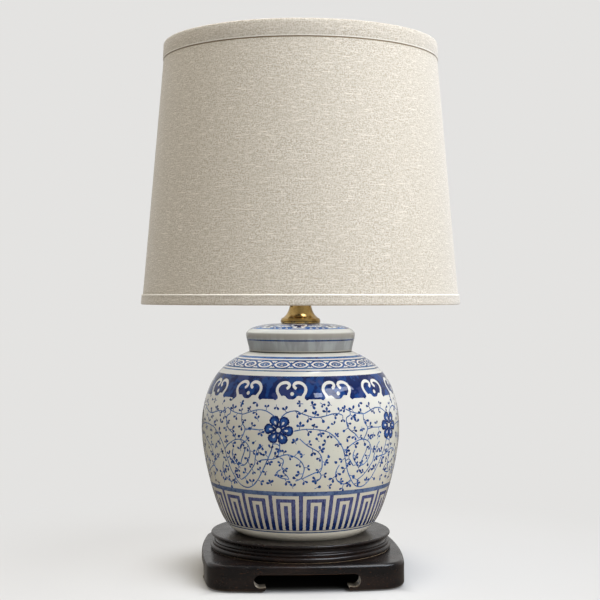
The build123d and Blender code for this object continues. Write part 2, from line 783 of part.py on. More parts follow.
with BuildPart() as bulb_glass:
    with BuildSketch(Plane.XZ):
        with BuildLine():
            outside, inside = bulb_side(0), bulb_side(bulb_wall)
            Spline(*outside, tangents=((0, 1), (0, 1)))
            crown_arc(bulb_radius)
            Line((0, crown_centre + bulb_radius), (0, crown_centre + bulb_radius - bulb_wall))
            crown_arc(bulb_radius - bulb_wall)
            Spline(*inside, tangents=((0, 1), (0, 1)))
            Line(inside[0], outside[0])
        make_face()
    revolve(axis=Axis.Z)
bulb_glass.part.label = "bulb_glass"
export_step(bulb_glass.part, "parts/bulb_glass.step")

# glass stem on a disc in the neck, with two wires that hold the filament
mount_top = bulb_cap_top + bulb_stem_height
filament_height = mount_top + filament_rise
with BuildPart() as bulb_mount:
    with BuildSketch(Plane.XY.offset(bulb_cap_top)):
        Circle(bulb_neck_radius - bulb_wall - running_gap)
    extrude(amount=bulb_wall)
    with BuildSketch(Plane.XY.offset(bulb_cap_top)):
        Circle(bulb_stem_radius)
    extrude(amount=bulb_stem_height)
    wire_foot = bulb_stem_radius / 2
    with BuildLine(Plane.XZ) as wires:
        FilletPolyline((-wire_foot, mount_top - wire_foot), (-filament_half, filament_height),
                       (0, filament_height - wire_foot), (filament_half, filament_height),
                       (wire_foot, mount_top - wire_foot), radius=3 * filament_radius)
    with BuildSketch(Plane(wires.wires()[0] @ 0, z_dir=wires.wires()[0] % 0)):
        Circle(filament_radius)
    sweep(path=wires.wires()[0])
bulb_mount.part.label = "bulb_mount"
export_step(bulb_mount.part, "parts/bulb_mount.step")

# ---- harp -------------------------------------------------------------------------------------

flare_start = harp_bottom + harp_leg_straight
half_loop = [(harp_leg_half, harp_bottom), (harp_leg_half, flare_start),
             (harp_half_width, flare_start + harp_flare), (harp_half_width, harp_top)]
other_half = [(-radius, height) for radius, height in reversed(half_loop)]
half_bends = [harp_bend_radius, harp_bend_radius, harp_shoulder_radius]
with BuildPart() as harp:
    with BuildLine(Plane.XZ) as harp_line:
        FilletPolyline(*half_loop, *other_half, radius=half_bends + half_bends[::-1])
    with BuildSketch(Plane((harp_leg_half, 0, harp_bottom))):
        Circle(harp_wire_radius)
    sweep(path=harp_line.wires()[0])
harp.part.label = "harp"
export_step(harp.part, "parts/harp.step")

with BuildPart() as harp_seat:
    with BuildSketch(Plane.XY.offset(harp_top - seat_hub_half)):
        Circle(seat_hub_radius)
    extrude(amount=2 * seat_hub_half)
    with BuildSketch(Plane.XY.offset(harp_top + seat_hub_half)):
        Circle(seat_radius)
    extrude(amount=seat_thick)
    with BuildSketch(Plane.XY.offset(seat_top)):
        Circle(stud_radius)
    extrude(amount=stud_height)
    with BuildSketch(Plane.YZ):
        with Locations((0, harp_top)):
            Circle(harp_wire_radius + thread_gap)
    extrude(amount=seat_hub_radius, both=True, mode=Mode.SUBTRACT)
harp_seat.part.label = "harp_seat"
export_step(harp_seat.part, "parts/harp_seat.step")


def harp_sleeve(side):
    """A tube over the joint of a harp leg and the saddle's stub, at x = side * leg offset."""
    with BuildPart() as sleeve:
        with BuildSketch(Plane.XY.offset(stub_top - sleeve_lap)):
            with Locations((side * harp_leg_half, 0)):
                Circle(sleeve_radius)
                Circle(harp_wire_radius + running_gap, mode=Mode.SUBTRACT)
        extrude(amount=sleeve_length)
    return sleeve


harp_sleeve_left = harp_sleeve(-1)
harp_sleeve_left.part.label = "harp_sleeve_left"
export_step(harp_sleeve_left.part, "parts/harp_sleeve_left.step")

harp_sleeve_right = harp_sleeve(1)
harp_sleeve_right.part.label = "harp_sleeve_right"
export_step(harp_sleeve_right.part, "parts/harp_sleeve_right.step")

# ---- shade ------------------------------------------------------------------------------------


def shade_layer(depth, thick):
    """A conical layer of the shade, depth inside the linen's outer face."""
    with BuildPart() as layer:
        with BuildSketch(Plane.XZ):
            with BuildLine():
                Polyline((shade_bottom_radius - depth, linen_bottom),
                         (shade_top_radius - depth, linen_top),
                         (shade_top_radius - depth - thick, linen_top),
                         (shade_bottom_radius - depth - thick, linen_bottom), close=True)
            make_face()
        revolve(axis=Axis.Z)
    return layer


def wire_ring(radius, height):
    """A ring of round wire."""
    with BuildPart() as ring:
        with BuildSketch(Plane.XZ):
            with Locations((radius, height)):
                Circle(ring_wire_radius)
        revolve(axis=Axis.Z)
    return ring


shade_fabric = shade_layer(0, linen_thick)
shade_fabric.part.label = "shade_fabric"
export_step(shade_fabric.part, "parts/shade_fabric.step")

liner_depth = linen_thick + glue_gap
shade_liner = shade_layer(liner_depth, card_thick)
shade_liner.part.label = "shade_liner"
export_step(shade_liner.part, "parts/shade_liner.step")

wire_depth = liner_depth + card_thick + glue_gap + ring_wire_radius
top_ring_height = linen_top - ring_wire_radius
top_ring_radius = linen_radius(linen_top) - wire_depth
bottom_ring_height = linen_bottom + ring_wire_radius
bottom_ring_radius = linen_radius(bottom_ring_height + ring_wire_radius) - wire_depth
shade_top_ring = wire_ring(top_ring_radius, top_ring_height)
shade_top_ring.part.label = "shade_top_ring"
export_step(shade_top_ring.part, "parts/shade_top_ring.step")

shade_bottom_ring = wire_ring(bottom_ring_radius, bottom_ring_height)
shade_bottom_ring.part.label = "shade_bottom_ring"
export_step(shade_bottom_ring.part, "parts/shade_bottom_ring.step")

trim_edge = 2 * trim_fold * (1 - cos(pi / 4))    # drop of a trim's rounded edge at 45 degrees
top_trim_bottom = shade_top - top_trim_height
with BuildPart() as shade_top_trim:
    with BuildSketch(Plane.XZ):
        with BuildLine():
            Polyline((linen_radius(top_trim_bottom) + glue_gap, top_trim_bottom),
                     (linen_radius(top_trim_bottom) + top_trim_proud, top_trim_bottom),
                     (shade_top_radius + top_trim_head, linen_top - trim_fold))
            ThreePointArc((shade_top_radius + top_trim_head, linen_top - trim_fold),
                          (shade_top_radius + top_trim_head * cos(pi / 4),
                           shade_top - trim_edge),
                          (shade_top_radius, shade_top))
            Polyline((shade_top_radius, shade_top), (shade_top_radius - trim_inturn, shade_top),
                     (shade_top_radius - trim_inturn, linen_top + glue_gap),
                     (shade_top_radius + glue_gap, linen_top + glue_gap),
                     (linen_radius(top_trim_bottom) + glue_gap, top_trim_bottom))
        make_face()
    revolve(axis=Axis.Z)
shade_top_trim.part.label = "shade_top_trim"
export_step(shade_top_trim.part, "parts/shade_top_trim.step")

bottom_trim_top = shade_bottom + bottom_trim_height
with BuildPart() as shade_bottom_trim:
    with BuildSketch(Plane.XZ):
        with BuildLine():
            Polyline((linen_radius(bottom_trim_top) + glue_gap, bottom_trim_top),
                     (linen_radius(bottom_trim_top) + bottom_trim_proud * 0.8, bottom_trim_top),
                     (linen_radius(bottom_trim_top) + bottom_trim_proud,
                      bottom_trim_top - trim_fold),
                     (shade_bottom_radius + bottom_trim_proud, linen_bottom + trim_fold))
            ThreePointArc((shade_bottom_radius + bottom_trim_proud, linen_bottom + trim_fold),
                          (shade_bottom_radius + bottom_trim_proud * cos(pi / 4),
                           shade_bottom + trim_edge),
                          (shade_bottom_radius, shade_bottom))
            Polyline((shade_bottom_radius, shade_bottom),
                     (shade_bottom_radius - trim_inturn, shade_bottom),
                     (shade_bottom_radius - trim_inturn, linen_bottom - glue_gap),
                     (shade_bottom_radius + glue_gap, linen_bottom - glue_gap),
                     (linen_radius(bottom_trim_top) + glue_gap, bottom_trim_top))
        make_face()
    revolve(axis=Axis.Z)
shade_bottom_trim.part.label = "shade_bottom_trim"
export_step(shade_bottom_trim.part, "parts/shade_bottom_trim.step")

# the arms run flat over the washer and then rise to the top ring
arm_height = spider_top + spider_wire_radius - spider_weld
arm_reach = top_ring_radius - ring_wire_radius - glue_gap
arm_end = linen_top - spider_wire_radius - running_gap
with BuildPart() as spider_arm:
    with BuildLine(Plane.XZ) as arm_line:
        FilletPolyline((spider_arm_start, arm_height), (spider_arm_bend, arm_height),
                       (arm_reach, arm_end), radius=4 * spider_wire_radius)
    with BuildSketch(Plane.YZ.offset(spider_arm_start)):
        with Locations((0, arm_height)):
            Circle(spider_wire_radius)
    sweep(path=arm_line.wires()[0])
with BuildPart() as shade_spider:
    with BuildSketch(Plane.XY.offset(spider_bottom)):
        Circle(spider_washer_radius)
        Circle(stud_radius + running_gap, mode=Mode.SUBTRACT)
    extrude(amount=spider_washer_thick)
    with PolarLocations(0, spider_arms, start_angle=90):
        add(spider_arm.part)
shade_spider.part.label = "shade_spider"
export_step(shade_spider.part, "parts/shade_spider.step")

# ---- finial -----------------------------------------------------------------------------------

neck_end = finial_bottom + finial_neck_height
ball_middle = neck_end + finial_ball_height / 2
ball_end = neck_end + finial_ball_height
finial_top = finial_bottom + finial_height
finial_bore = stud_radius + running_gap
tip_centre = finial_top - finial_tip_radius
tip_stem = finial_tip_radius * cos(pi / 4)
tip_drop = finial_tip_radius * sin(pi / 4)
with BuildPart() as finial:
    with BuildSketch(Plane.XZ):
        with BuildLine():
            Polyline((finial_bore, finial_bottom), (finial_base_radius, finial_bottom),
                     (finial_base_radius, finial_bottom + finial_base_height),
                     (finial_neck_radius, neck_end - finial_base_height / 2),
                     (finial_neck_radius, neck_end))
            ThreePointArc((finial_neck_radius, neck_end), (finial_ball_radius, ball_middle),
                          (finial_neck_radius, ball_end))
            Polyline((finial_neck_radius, ball_end), (tip_stem, ball_end + 1),
                     (tip_stem, tip_centre - tip_drop))
            ThreePointArc((tip_stem, tip_centre - tip_drop), (finial_tip_radius, tip_centre),
                          (0, finial_top))
            Polyline((0, finial_top), (0, stud_top + face_gap), (finial_bore, stud_top + face_gap),
                     (finial_bore, finial_bottom))
        make_face()
    revolve(axis=Axis.Z)
finial.part.label = "finial"
export_step(finial.part, "parts/finial.step")
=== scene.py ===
import functools
import math
import random

import bpy
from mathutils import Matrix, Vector, noise
from mathutils.bvhtree import BVHTree


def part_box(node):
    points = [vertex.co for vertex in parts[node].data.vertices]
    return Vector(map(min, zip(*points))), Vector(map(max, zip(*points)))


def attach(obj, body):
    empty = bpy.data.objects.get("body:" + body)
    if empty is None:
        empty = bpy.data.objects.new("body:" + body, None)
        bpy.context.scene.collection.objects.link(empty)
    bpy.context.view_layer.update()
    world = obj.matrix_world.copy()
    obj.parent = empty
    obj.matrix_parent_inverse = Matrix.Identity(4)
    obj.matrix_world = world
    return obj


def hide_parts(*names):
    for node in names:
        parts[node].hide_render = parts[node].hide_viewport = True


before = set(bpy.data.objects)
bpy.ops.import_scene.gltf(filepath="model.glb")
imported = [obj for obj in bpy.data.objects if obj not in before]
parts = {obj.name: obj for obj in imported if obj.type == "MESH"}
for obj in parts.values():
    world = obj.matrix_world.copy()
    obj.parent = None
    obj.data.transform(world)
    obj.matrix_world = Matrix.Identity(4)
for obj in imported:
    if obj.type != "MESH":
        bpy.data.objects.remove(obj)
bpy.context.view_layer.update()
bpy.ops.object.select_all(action="DESELECT")

# ---- the studio -------------------------------------------------------------
# A pale sweep of paper lit from a tall window of four panes at the right, the bright walls
# beside it, a warmer fill at the left and a soft light overhead that also falls through the
# open top of the shade.

scene = bpy.context.scene
scene.view_settings.view_transform = "Standard"
camera_turn = 3.9  # degrees that the camera stands to the left of the lamp's front
camera_distance, camera_height = 1.5524, 0.332
camera_dip, camera_pan = 0.222, 0.022  # degrees down and to the left
middle_height = 0.3
daylight, white_light = (0.93, 0.99, 1.09), (1, 1, 1)
window_distance = 2.2
paper = (0.775, 0.768, 0.755)


def outward(turn):
    """The level way out from the lamp's axis, turn degrees to the camera's right."""
    angle = math.radians(turn - 90 - camera_turn)
    return Vector((math.cos(angle), math.sin(angle), 0))


def softbox(name, right, up, distance, width, height, power, colour, mirrored=False):
    """A rectangular lamp that faces the lamp's middle from right degrees to the camera's right
    and up degrees over it. Gloss shows it only where it is mirrored."""
    rise = math.radians(up)
    away = outward(right) * math.cos(rise) + Vector((0, 0, math.sin(rise)))
    lamp = bpy.data.objects.new(name, bpy.data.lights.new(name, "AREA"))
    bpy.context.collection.objects.link(lamp)
    lamp.data.shape, lamp.data.size, lamp.data.size_y = "RECTANGLE", width, height
    lamp.data.energy, lamp.data.color = power, colour
    lamp.visible_glossy = mirrored
    lamp.location = Vector((0, 0, middle_height)) + away * distance
    lamp.rotation_euler = (-away).to_track_quat("-Z", "Y").to_euler()


for pane, right, up, width, height, power in (
        ("wide", 56, 42.5, 1.45, 0.56, 22), ("upper", 27, 57, 0.95, 0.28, 8),
        ("small", 24, 36, 0.36, 0.28, 3.5), ("lower", 42, 31, 0.7, 0.26, 5)):
    softbox("window, " + pane + " pane", right, up, window_distance, width, height, power, daylight,
            mirrored=True)
softbox("outer wall", 88, 36, 2.3, 1.2, 1.4, 8, daylight)
softbox("side wall", 78, 9, 2.4, 1.1, 0.9, 6, (0.95, 0.99, 1.06))
softbox("skylight", 54, 72, window_distance, 0.8, 0.7, 15, white_light, mirrored=True)
softbox("fill", -76, 56, 2.6, 1.6, 1.6, 32, (1.0, 0.92, 0.78))
softbox("overhead", 10, 88, 2.0, 1.2, 1.2, 25, white_light)
softbox("room", 43, 8, 2.4, 2.2, 1.3, 17, (1.0, 0.98, 0.95))

camera = bpy.data.objects.new("camera", bpy.data.cameras.new("camera"))
bpy.context.collection.objects.link(camera)
camera.data.lens, camera.data.sensor_width = 77.4, 36
camera.location = outward(0) * camera_distance + Vector((0, 0, camera_height))
camera.rotation_euler = (math.radians(90 - camera_dip), 0, math.radians(camera_pan - camera_turn))
scene.camera = camera


def join(value, socket):
    """Puts a number or a colour on a socket, or links another node's output to it."""
    if isinstance(value, bpy.types.NodeSocket):
        socket.id_data.links.new(value, socket)
    elif hasattr(value, "__len__") and len(value) == 3 and socket.type == "RGBA":
        socket.default_value = (*value, 1)
    else:
        socket.default_value = value


def node(tree, kind, inputs, **settings):
    """A new node. inputs holds what goes on its sockets, by their names or numbers."""
    made = tree.nodes.new("ShaderNode" + kind)
    for name, value in settings.items():
        setattr(made, name, value)
    for socket, value in inputs.items():
        join(value, made.inputs[socket])
    return made


def reckon(tree, operation, a, b=0):
    """Two numbers made one."""
    return node(tree, "Math", {0: a, 1: b}, operation=operation).outputs[0]


def larger(tree, a, b, operation="MAXIMUM"):
    """The larger of two lengths, or the smaller with MINIMUM, whatever their signs."""
    return reckon(tree, operation, reckon(tree, "ABSOLUTE", a), reckon(tree, "ABSOLUTE", b))


def spread(tree, value, low, high, to_low=0, to_high=1):
    """Carries low..high over to to_low..to_high, and no further."""
    limits = {"From Min": low, "From Max": high, "To Min": to_low, "To Max": to_high}
    return node(tree, "MapRange", {"Value": value, **limits}, interpolation_type="SMOOTHSTEP").outputs[0]


def tint(tree, share, first, second):
    """first where share is 0, second where it is 1."""
    return node(tree, "Mix", {"Factor": share, 6: first, 7: second}, data_type="RGBA").outputs[2]


def lay(tree, stretch=(1, 1, 1), turned=(0, 0, 0)):
    """Object coordinates in metres, scaled so that a pattern stretches, and turned in degrees."""
    place, angles = node(tree, "TexCoord", {}).outputs["Object"], [math.radians(a) for a in turned]
    return node(tree, "Mapping", {"Vector": place, "Scale": stretch, "Rotation": angles}).outputs[0]


def measured(tree, vector=None):
    """The X, Y and Z of a vector, or of the place on the piece."""
    return node(tree, "SeparateXYZ", {0: vector or lay(tree)}).outputs


def ray(tree, *kinds):
    """1 for a ray of one of these kinds, such as Is Camera Ray."""
    path = node(tree, "LightPath", {})
    share = path.outputs[kinds[0]]
    for kind in kinds[1:]:
        share = reckon(tree, "MAXIMUM", share, path.outputs[kind])
    return share


def shaders(tree, share, first, second):
    """A mix of two shaders: first where share is 0, second where it is 1."""
    return node(tree, "MixShader", {0: share, 1: first.outputs[0], 2: second.outputs[0]})


# The camera sees the paper. Gloss shows it behind the lamp, and a dimmer room before it.
scene.world = bpy.data.worlds.new("studio")
scene.world.use_nodes = True
air = scene.world.node_tree
air.nodes.clear()
way = measured(air, node(air, "TexCoord", {}).outputs["Generated"])
seen = node(air, "Background", {"Color": paper})
ambient = node(air, "Background", {"Color": (1.0, 0.98, 0.955), "Strength": 0.12})
mirrored = node(air, "Background", {"Color": paper, "Strength": spread(air, way["Y"], -0.3, 0.5, 0.14, 0.75)})
unseen = shaders(air, ray(air, "Is Glossy Ray"), ambient, mirrored)
light = shaders(air, ray(air, "Is Camera Ray", "Is Transmission Ray"), unseen, seen)
node(air, "OutputWorld", {"Surface": light.outputs[0]})

bpy.ops.mesh.primitive_circle_add(vertices=96, radius=4, fill_type="NGON")
sweep = bpy.context.active_object
sweep.name = "sweep"
sweep_paper = bpy.data.materials.new("paper")
sweep_paper.use_nodes = True
tree = sweep_paper.node_tree
tree.nodes.clear()
# Painted shadow: the floor is coloured near-black under the stand, fading out just past its
# edges, where hardly any light gets.
where = measured(tree)
under = spread(tree, larger(tree, where["X"], where["Y"]), 0.08, 0.127)
lit = node(tree, "BsdfDiffuse", {"Color": tint(tree, under, (0.03, 0.029, 0.028), (0.62, 0.613, 0.602))})
# Further away the camera sees the floor in the paper's own colour.
away = node(tree, "VectorMath", {0: lay(tree)}, operation="LENGTH").outputs["Value"]
far_share = reckon(tree, "ADD", spread(tree, away, 0.105, 0.23, 0, 0.72),
                   spread(tree, away, 0.23, 0.6, 0, 0.28))
far_share = reckon(tree, "MULTIPLY", far_share, ray(tree, "Is Camera Ray", "Is Transmission Ray"))
far = node(tree, "Emission", {"Color": paper})
dim = node(tree, "Emission", {"Color": (0.2, 0.185, 0.165)})
floor = shaders(tree, ray(tree, "Is Glossy Ray"), shaders(tree, far_share, lit, far), dim)
node(tree, "OutputMaterial", {"Surface": floor.outputs[0]})
sweep.data.materials.append(sweep_paper)

# ---- felt under the feet, and under the brass neck --------------------------
# Discs of thick green-black wool felt, cut with a punch and glued on, so that the wood doesn't
# scratch the table and the brass doesn't chip the glaze.


def surface(name, **values):
    """A new finish. values are the shader's plain settings, with _ for a space."""
    material = bpy.data.materials.new(name)
    material.use_nodes = True
    shader = material.node_tree.nodes["Principled BSDF"]
    for socket, value in values.items():
        join(value, shader.inputs[socket.replace("_", " ")])
    return material, material.node_tree, shader


def clouds(tree, lumps, detail=3, at=None, roughness=0.5):
    """Noise from 0 to 1 with so many lumps to the metre, or so many along X, Y and Z."""
    if isinstance(lumps, tuple):
        lumps, at = 1, lay(tree, lumps)
    return node(tree, "TexNoise", {"Vector": at or lay(tree), "Scale": lumps, "Detail": detail,
                                   "Roughness": roughness}).outputs["Fac"]


def paint(shader, share, first, second):
    """Gives a finish its colour: first where share is 0, second where it is 1."""
    colour = tint(shader.id_data, share, first, second)
    join(colour, shader.inputs["Base Color"])
    return colour


def gloss(shader, pattern, low, high):
    """Lets a finish's roughness wander from low to high with a cloudy pattern."""
    join(spread(shader.id_data, pattern, 0.3, 0.7, low, high), shader.inputs["Roughness"])


def relief(shader, height, depth):
    """Height from 0 to 1 as bumps depth metres high."""
    bumps = node(shader.id_data, "Bump", {"Height": height, "Distance": depth})
    join(bumps.outputs[0], shader.inputs["Normal"])


def coat(material, *names):
    """Gives CAD nodes their finish."""
    for name in names:
        for slot in parts[name].material_slots:
            slot.material = material


felt, tree, shader = surface("felt", Roughness=0.95, Sheen_Weight=0.4)
fibres = clouds(tree, 1400, 4)
paint(shader, fibres, (0.01, 0.013, 0.011), (0.04, 0.047, 0.04))
relief(shader, fibres, 0.0003)
coat(felt, "foot_pads", "neck_washer")

# ---- wooden stand -----------------------------------------------------------
# A square base carved from one thick board, its sides cut away to bracket feet, and a turned
# round plinth. Both are ebonised hardwood under satin lacquer, rubbed brown along the edges.


def worn_edge(tree, radius):
    """1 along sharp edges, where hands and cloths rub the lacquer off."""
    rounded = node(tree, "Bevel", {"Radius": radius}, samples=6).outputs[0]
    sharp = node(tree, "NewGeometry", {}).outputs["Normal"]
    alike = node(tree, "VectorMath", {0: rounded, 1: sharp}, operation="DOT_PRODUCT").outputs["Value"]
    return spread(tree, alike, 0.995, 0.9)


def ebonised(name):
    """Black stain and satin lacquer over brown hardwood: streaked grain, fine brown pores, and
    brown again along edges and on the feet's lower rims."""
    material, tree, shader = surface(name, Specular_IOR_Level=0.42)
    grain = clouds(tree, (9, 190, 190), 6, roughness=0.6)
    figure = clouds(tree, (14, 60, 60))
    pores = spread(tree, clouds(tree, (260, 1500, 1500), 2), 0.64, 0.74, 0, 0.62)
    where = measured(tree)
    black = tint(tree, spread(tree, figure, 0.35, 0.7), (0.006, 0.005, 0.005), (0.015, 0.0095, 0.0078))
    brown = tint(tree, spread(tree, grain, 0.55, 0.8, 0, 0.6), black, (0.036, 0.015, 0.008))
    speckled = tint(tree, pores, brown, (0.11, 0.04, 0.014))
    rubbed = spread(tree, clouds(tree, 28, 5), 0.42, 0.62, 0.05, 0.5)
    wear = reckon(tree, "MAXIMUM", worn_edge(tree, 0.0011),
                  spread(tree, where["Z"], 0.0052, 0.0015, 0, 0.55))
    worn = paint(shader, reckon(tree, "MULTIPLY", wear, rubbed), speckled, (0.115, 0.048, 0.02))
    gloss(shader, clouds(tree, 60, 4), 0.19, 0.28)
    relief(shader, grain, 0.00003)
    return material, tree, shader, where, worn


coat(ebonised("ebonised wood")[0], "stand_plinth")

# The up-facing and inner faces of the cut-outs between the feet are coloured a pale beige-brown.
base_wood, tree, shader, where, worn = ebonised("ebonised wood, pale in the cuts")
facing = measured(tree, node(tree, "TexCoord", {}).outputs["Normal"])
side = larger(tree, *(reckon(tree, "MULTIPLY", where[axis], facing[axis]) for axis in "XY"))
beside = larger(tree, where["X"], where["Y"], "MINIMUM")
hollow = spread(tree, side, 0.078, 0.066)
for place, none, full in ((beside, 0.0445, 0.0475), (beside, 0.0625, 0.0605),
                          (where["Z"], 0.0165, 0.0125), (where["Z"], 0.0045, 0.0065)):
    hollow = reckon(tree, "MULTIPLY", hollow, spread(tree, place, none, full))
cut_colour = tint(tree, clouds(tree, (30, 300, 300), 4), (0.24, 0.19, 0.13), (0.44, 0.38, 0.29))
paint(shader, hollow, worn, cut_colour)
coat(base_wood, "stand_base")

# Brown hide glue squeezed out where the plinth sits on the base, left as a thin, lumpy bead.
base_top, glue_radius, glue_thick = 0.0305, 0.1055, 0.0009
bpy.ops.mesh.primitive_torus_add(location=(0, 0, base_top + 0.0002), major_radius=glue_radius,
                                 minor_radius=glue_thick, major_segments=180, minor_segments=8)
glue_line = bpy.context.active_object
glue_line.name = "glue_line"
lumps, lump_rise, lump_swell = 160, 0.0003, 0.0025
for point in glue_line.data.vertices:
    lump = noise.noise(point.co * lumps)
    point.co.z += lump_rise * lump
    point.co.x *= 1 + lump_swell * lump
    point.co.y *= 1 + lump_swell * lump
bpy.ops.object.transform_apply(location=True)
bpy.ops.object.shade_smooth()
glue, tree, shader = surface("hide glue", Roughness=0.45)
dust = clouds(tree, 300)
paint(shader, dust, (0.2, 0.135, 0.08), (0.38, 0.29, 0.19))
relief(shader, dust, 0.0003)
glue_line.data.materials.append(glue)
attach(glue_line, "stand")

# ---- porcelain jar ----------------------------------------------------------
# Thrown in one piece and dipped in a clear glaze that pools a little grey-green over the warm
# white body. The foot's ring is wiped bare, where the jar stands on the plinth.


def under_glaze(name):
    """A finish with the clear glaze's own gloss and its slow waves."""
    material, tree, shader = surface(name, Specular_IOR_Level=0.36)
    gloss(shader, clouds(tree, 45), 0.02, 0.06)
    relief(shader, clouds(tree, 34, 2), 0.0004)
    return material, tree, shader


def china(tree, warm, cool):
    """Bare porcelain seen through the glaze: cloudy, faintly uneven, with a few iron specks."""
    mottled = tint(tree, spread(tree, clouds(tree, 13, 4), 0.3, 0.7), warm, cool)
    specks = spread(tree, clouds(tree, 520, 1), 0.735, 0.77, 0, 0.5)
    return tint(tree, specks, mottled, (0.2, 0.17, 0.13))


def by_height(shader, colour, *bands):
    """Paints a finish with a colour that gives way to each band's own, between the two heights
    where that begins and is full, or reaches its share."""
    tree = shader.id_data
    height = measured(tree)["Z"]
    for none, full, second, *share in bands:
        colour = paint(shader, spread(tree, height, none, full, 0, *share), colour, second)


porcelain, tree, shader = under_glaze("porcelain glaze")
# Painted shade and light by height: darker over the lower belly and round the fret, which turn
# down from the light, paler over the upper belly and palest on the shoulder, which face up to
# it, and the warm bare foot painted pale as if lit.
by_height(shader, china(tree, (0.505, 0.48, 0.4), (0.475, 0.468, 0.4)),
          (0.145, 0.105, (0.45, 0.415, 0.335)), (0.168, 0.216, (0.62, 0.605, 0.545)),
          (0.215, 0.245, (0.78, 0.77, 0.72)), (0.0645, 0.0605, (0.86, 0.81, 0.69)))
coat(porcelain, "jar")

# ---- painting on the jar ----------------------------------------------------
# Cobalt brushed on before the glaze: rings and a spiral border on the shoulder, a deep blue
# band with lobed heads left white, a flower scroll over the belly and a key fret over the foot.

mm = 0.001
outside, above = 0.2, 0.31  # where lines to the jar and down to the lid start, in metres


def skin(name):
    """The surface of a CAD node, for lines to meet."""
    mesh = parts[name].data
    return BVHTree.FromPolygons([v.co for v in mesh.vertices], [p.vertices for p in mesh.polygons])


glaze = skin("jar")


def across(turn, height, body=glaze):
    """Where a line from the lamp's axis leaves the glaze, and its way out. turn is in degrees
    right of the view, height in millimetres."""
    out = outward(turn)
    return body.ray_cast(out * outside + Vector((0, 0, height * mm)), -out)[0], out


@functools.cache
def reach_at(quarters):
    return across(0, quarters / 4)[0].xy.length / mm


def reach(height):
    """The jar's radius at a height, in millimetres, read every quarter of a millimetre."""
    return reach_at(round(height * 4))


def on_jar(turn, height, lift):
    """A point lift millimetres over the glaze, and which way the glaze faces there."""
    spot, out = across(turn, height)
    slope = (reach(height + 1.5) - reach(height - 1.5)) / 3
    facing = (out - Vector((0, 0, slope))).normalized()
    return spot + facing * (lift * mm), facing


